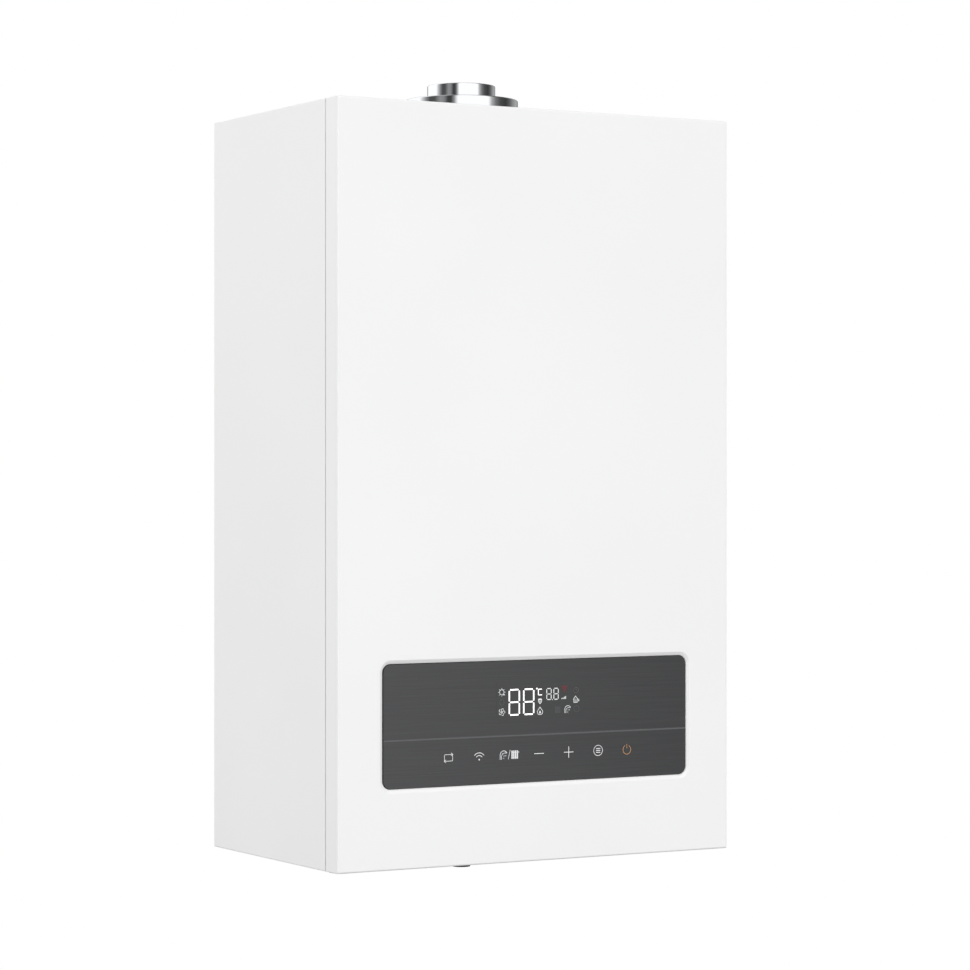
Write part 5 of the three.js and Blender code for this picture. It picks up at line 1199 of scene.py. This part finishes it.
FAN_CENTRE = at(0, 0, 616)
PUMP_CENTRE = at(130, 0, 130)
VESSEL_CENTRE = at(0, 0, 358)
turned_piece("fan_drive", ["fan_motor"], "y", FAN_CENTRE, [
    (0, -187), (9, -187), (9.5, -184.5), (21, -184.5), (24, -187), (30, -187), (35, -183.5),
    *grooves(36, -181, -151, 6, 1.2), (36, -143), (4, -143), (4, -119), (0, -119)],
    BLACK_PLASTIC)
turned_piece("pump_drive", ["pump_motor"], "y", PUMP_CENTRE, [
    (0, -184), (8, -184), (8.5, -181.5), (28, -181.5), (31, -184), (37, -184), (42, -179),
    *grooves(43, -174, -138, 6, 1.2), (43, -132), (41.5, -130), (41.5, -118), (4, -118),
    (4, -105.5), (0, -105.5)], BLACK_PLASTIC)
neck = turned("z", at(130, -95, 0), rounded(np.array([
    (0, 75), (16, 75), (16, 82), (13.5, 84), (13.5, 172), (16, 174), (16, 184), (0, 184)]) * MM,
    0.8 * MM), 64)
turned_piece("pump_casting", ["pump_housing"], "y", PUMP_CENTRE, [
    (0, -118), (46, -118), (46, -108), (44, -106), (44, -84), (38, -74), (30, -72), (0, -72)],
    BRASS, 1.5, extra=[neck])
turned_piece("pressed_vessel", ["expansion_vessel"], "y", VESSEL_CENTRE, [
    (0, -75.5), (60, -75.2), (98, -73.5), (118, -69), (128, -61), (132, -52), (132, -47.5),
    (137, -47), (138, -44.5), (137, -42), (132, -41.5), (132, -37), (128, -28), (118, -20),
    (98, -15.5), (60, -13.8), (0, -13.5)], RED_PAINT, 2.5, steps=128,
    extra=[turned("z", at(0, -44.5, 0), rounded(np.array([
        (0, 206), (7, 206), (7, 216), (10, 218), (10, 223), (0, 232)]) * MM, 0.6 * MM), 48)])
turned_piece("relief_valve_body", ["safety_valve"], "y", at(72, 0, 44), [
    (0, -170), (9, -170), (11, -168), (11, -162), (9, -161), (9, -157), (11, -156), (11, -150),
    (0, -150)], BRASS)
turned_piece("pressure_capsule", ["air_pressure_switch"], "x", at(0, -150, 628), [
    (0, 183.8), (6, 183.8), (6, 188), (10, 189), (10, 192.5), (27, 193.5), (30, 197), (30, 201),
    (28.5, 202), (28.5, 204), (30, 205), (30, 209.8), (0, 209.8)], GREY_PLASTIC)
turned_piece("sight_lens", ["sight_glass"], "y", at(62, 0, 334), [
    (0, -230.5), (9, -230.5), (12, -229), (12, -227.5), (0, -227.5)], SIGHT, 0.4)
turned_piece("lead_gland", ["cable_gland"], "z", at(170, -150, 0), [
    (4, -12), (7.5, -12), (9, -9), *grooves(9, -8, -1, 4, 0.6)[:-1], (9, 1.2), (14, 1.2),
    (14, 10.2), (4, 10.2)], BLACK_PLASTIC, 0.3, closed=True)

FITTINGS = {
    "heating_flow_connection": (-130, 13.2, 18, 30, BRASS, "brass"),
    "hot_water_connection": (-65, 10.5, 18, 30, BRASS, "brass"),
    # The gas tail's near-black finish is painted shade, for the shade under the casing.
    "gas_connection": (0, 9.3, 20, 76, SHADE_DARK_STEEL, "blackened"),
    "cold_water_connection": (65, 10.5, 18, 30, BRASS, "brass"),
    "heating_return_connection": (130, 13.2, 18, 30, BRASS, "brass"),
}
for fitting, (x, radius, drop, top, finish, slot_name) in FITTINGS.items():
    bore = radius - 2.5
    profile = [(bore, -drop), (radius - 0.6, -drop), *thread(radius, -drop + 1.2, -1.5, 1.8),
               (radius, -0.5), (radius, top), (bore, top)]
    centre = at(x, AXIS_DEPTH, 0)
    nut = hex_nut("z", centre, 2 * (radius + 4.4) * MM, 1.2 * MM, 10.2 * MM)
    plug = turned("z", centre,
                  np.array([(0, 26), (bore + 0.5, 26), (bore + 0.5, top), (0, top)]) * MM, 48)
    turned_piece(f"{fitting}_tail", [fitting], "z", centre, profile, finish, 0.25,
                 closed=True, extra=[nut, plug])

SCREW_PROFILE = [(0, -0.7), (1.6, -0.7), (1.8, -1.0), (3.6, -1.0), (4.5, -0.3), (4.5, 0), (2.2, 0),
                 *thread(2.5, 1.2, 7.4, 0.8), (0, 8)]
for side_name, sign in (("left", -1), ("right", 1)):
    turned_piece(f"panel_screw_{side_name}", [f"cover_screw_{side_name}"], "z",
                 at(sign * 155, -247, 0), SCREW_PROFILE, STAINLESS, 0.1, steps=40,
                 body="front_cover")
print("turned pieces made")

# %% [markdown]
# ## Control box lid
# The lid is one moulding: a flat skin with a raised border and a field of stiffening ribs. Four
# screws hold it, each with a flat foot and a round recess in its head.

# %% Control box lid
LID_LOW, LID_HIGH = (np.array(corner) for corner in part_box("control_box_lid"))
LID_SKIN = 1.2 * MM
LID_BORDER = 4 * MM
LID_RIB = 1.6 * MM
SCREW_INSET = 9 * MM


def lid():
    """Ribs and border stand on a skin thinner than the lid, within the lid's own box. Each is a
    box between two corners, and a screw is a profile of (radius, depth) turned about Y."""
    low, high = LID_LOW, LID_HIGH
    border, rib = LID_BORDER, LID_RIB
    skin = low[1] + LID_SKIN
    parts = [box_part((low[0], low[1], low[2]), (high[0], skin, high[2]))]
    parts += [box_part((low[0], skin, low[2]), (high[0], high[1], low[2] + border)),
              box_part((low[0], skin, high[2] - border), (high[0], high[1], high[2])),
              box_part((low[0], skin, low[2] + border),
                       (low[0] + border, high[1], high[2] - border)),
              box_part((high[0] - border, skin, low[2] + border),
                       (high[0], high[1], high[2] - border))]
    for x in np.linspace(low[0], high[0], 9)[1:-1]:
        parts.append(box_part((x - rib / 2, skin, low[2] + border),
                              (x + rib / 2, high[1] - 0.3 * MM, high[2] - border)))
    for z in np.linspace(low[2], high[2], 5)[1:-1]:
        parts.append(box_part((low[0] + border, skin, z - rib / 2),
                              (high[0] - border, high[1] - 0.35 * MM, z + rib / 2)))
    made = make_piece("ribbed_lid", *join_parts(*parts), GREY_PLASTIC, "control_unit",
                      ["control_box_lid"], bevel=0.25 * MM)
    screws = []
    for x in (low[0] + SCREW_INSET, high[0] - SCREW_INSET):
        for z in (low[2] + SCREW_INSET, high[2] - SCREW_INSET):
            screws.append(turned("y", (x, 0, z), rounded([
                (0, skin), (5 * MM, skin), (5 * MM, high[1] - 0.6 * MM),
                (3.4 * MM, high[1] - 0.1 * MM), (1.4 * MM, high[1] - 0.1 * MM),
                (1.2 * MM, high[1] - 0.5 * MM), (0, high[1] - 0.5 * MM)], 0.2 * MM), 32))
    made = make_piece("lid_screws", *join_parts(*screws), STAINLESS, "control_unit")


lid()

# %% [markdown]
# ## Studio
# The background is pure white for the camera, and so is the floor far below. Every other ray that
# leaves the part meets a softer room: the plain light on a surface grows with height, and a
# reflection meets a ring of white and dark flats, as plated metal does in a studio. Two large
# soft panels light the front and the left side, and reflections don't show them.

# %% Studio
ROOM_BANDS = [
    (-180, 0.08), (-170, 0.16), (-160, 0.50), (-150, 1.05), (-140, 1.25), (-94, 1.25), (-85, 0.68),
    (-76, 0.30), (-67, 0.09), (-56, 0.09), (-43, 0.33), (-35, 0.27), (-27, 0.06), (-20, 0.06),
    (-14, 0.30), (-6, 1.25), (58, 1.25), (66, 0.50), (76, 0.20), (88, 0.08), (105, 0.05),
    (118, 0.13), (131, 0.30), (150, 0.46), (162, 0.34), (172, 0.14), (180, 0.08),
]
TOWARD_CAMERA = -TURN_FROM_SQUARE - math.pi / 2
FILL_BELOW, FILL_ABOVE = 0.76, 0.94
FLOOR_DROP = 1.2
FLOOR_REACH = 6.0


def white_room():
    """The world: white for camera rays, for diffuse rays a light that grows in a straight line
    with the height of the direction, and for glossy rays a grey that depends on the level
    direction, measured round from the camera's own side."""
    world = bpy.data.worlds.new("studio")
    bpy.context.scene.world = world
    world.use_nodes = True
    tree = world.node_tree
    tree.nodes.clear()
    where = add(tree, "ShaderNodeTexCoord").outputs["Generated"]
    parts = add(tree, "ShaderNodeSeparateXYZ", Vector=where)
    angle = add(tree, "ShaderNodeMath", {"operation": "ARCTAN2"}, in0=parts.outputs["Y"],
                in1=parts.outputs["X"])
    turned_on = add(tree, "ShaderNodeMath", {"operation": "SUBTRACT"}, in0=angle.outputs[0],
                    in1=TOWARD_CAMERA)
    wrapped = add(tree, "ShaderNodeMath", {"operation": "WRAP"}, in0=turned_on.outputs[0],
                  in1=math.pi, in2=-math.pi)
    share = add(tree, "ShaderNodeMapRange", Value=wrapped.outputs[0], From_Min=-math.pi,
                From_Max=math.pi)
    ramp = add(tree, "ShaderNodeValToRGB", Fac=share.outputs["Result"])
    elements = ramp.color_ramp.elements
    while len(elements) > 1:
        elements.remove(elements[0])
    for i, (degrees, grey) in enumerate(ROOM_BANDS):
        place = (degrees + 180) / 360
        mark = elements[0] if i == 0 else elements.new(place)
        mark.position = place
        mark.color = (grey, grey, grey, 1)
    kinds = add(tree, "ShaderNodeLightPath")
    height = add(tree, "ShaderNodeMapRange", Value=parts.outputs["Z"], From_Min=-1.0, From_Max=1.0,
                 To_Min=FILL_BELOW, To_Max=FILL_ABOVE)
    fill = add(tree, "ShaderNodeBackground", Color=(1, 1, 1, 1), Strength=height.outputs["Result"])
    room = add(tree, "ShaderNodeBackground", Color=ramp.outputs["Color"], Strength=1.0)
    white = add(tree, "ShaderNodeBackground", Color=(1, 1, 1, 1), Strength=1.0)
    glossy = add(tree, "ShaderNodeMixShader", in0=kinds.outputs["Is Glossy Ray"],
                 in1=fill.outputs[0], in2=room.outputs[0])
    seen = add(tree, "ShaderNodeMath", {"operation": "MAXIMUM"}, in0=kinds.outputs["Is Camera Ray"],
               in1=kinds.outputs["Is Transmission Ray"])
    final = add(tree, "ShaderNodeMixShader", in0=seen.outputs[0], in1=glossy.outputs[0],
                in2=white.outputs[0])
    out = add(tree, "ShaderNodeOutputWorld")
    tree.links.new(final.outputs[0], out.inputs["Surface"])


def soft_panel(name, place, target, width, height, watts):
    """A rectangular lamp at a place, turned to face a target."""
    data = bpy.data.lights.new(name, "AREA")
    data.shape = "RECTANGLE"
    data.size, data.size_y = width, height
    data.energy = watts
    lamp = bpy.data.objects.new(name, data)
    lamp.visible_glossy = False
    bpy.context.scene.collection.objects.link(lamp)
    away = np.array(place, float) - np.array(target, float)
    flat = math.hypot(away[0], away[1])
    lamp.rotation_euler = (math.atan2(flat, away[2]), 0, math.atan2(away[0], -away[1]))
    lamp.location = place
    return lamp


def floor():
    """A level square under the part: white to the camera, half as bright in reflections, and grey
    to every other ray, so little light comes up from below."""
    size = FLOOR_REACH
    mesh = bpy.data.meshes.new("floor")
    level = BOTTOM - FLOOR_DROP
    mesh.from_pydata([(-size, -size, level), (size, -size, level), (size, size, level),
                      (-size, size, level)], [], [(0, 1, 2, 3)])
    sheet = bpy.data.objects.new("floor", mesh)
    bpy.context.scene.collection.objects.link(sheet)
    made, tree, shader = new_material("white_floor", "#6E6E6E", 0.9)
    mesh.materials.append(made)
    kinds = add(tree, "ShaderNodeLightPath")
    power = add(tree, "ShaderNodeMapRange", Value=kinds.outputs["Is Camera Ray"], To_Min=0.5,
                To_Max=1.0)
    glow = add(tree, "ShaderNodeEmission", Color=(1, 1, 1, 1), Strength=power.outputs["Result"])
    clean = add(tree, "ShaderNodeMath", {"operation": "MAXIMUM"},
                in0=kinds.outputs["Is Camera Ray"], in1=kinds.outputs["Is Glossy Ray"])
    blend = add(tree, "ShaderNodeMixShader", in0=clean.outputs[0], in1=shader.outputs[0],
                in2=glow.outputs[0])
    tree.links.new(blend.outputs[0], tree.nodes["Material Output"].inputs["Surface"])


white_room()
floor()
MIDDLE = (0, FRONT / 2, (TOP + BOTTOM) / 2)
soft_panel("front_soft_panel", (0.5, -3.2, -0.5), MIDDLE, 2.4, 2.4, 35)
soft_panel("left_soft_panel", (-3.0, -0.6, 0.6), MIDDLE, 2.0, 2.4, 24)
bpy.context.scene.view_settings.view_transform = "Standard"
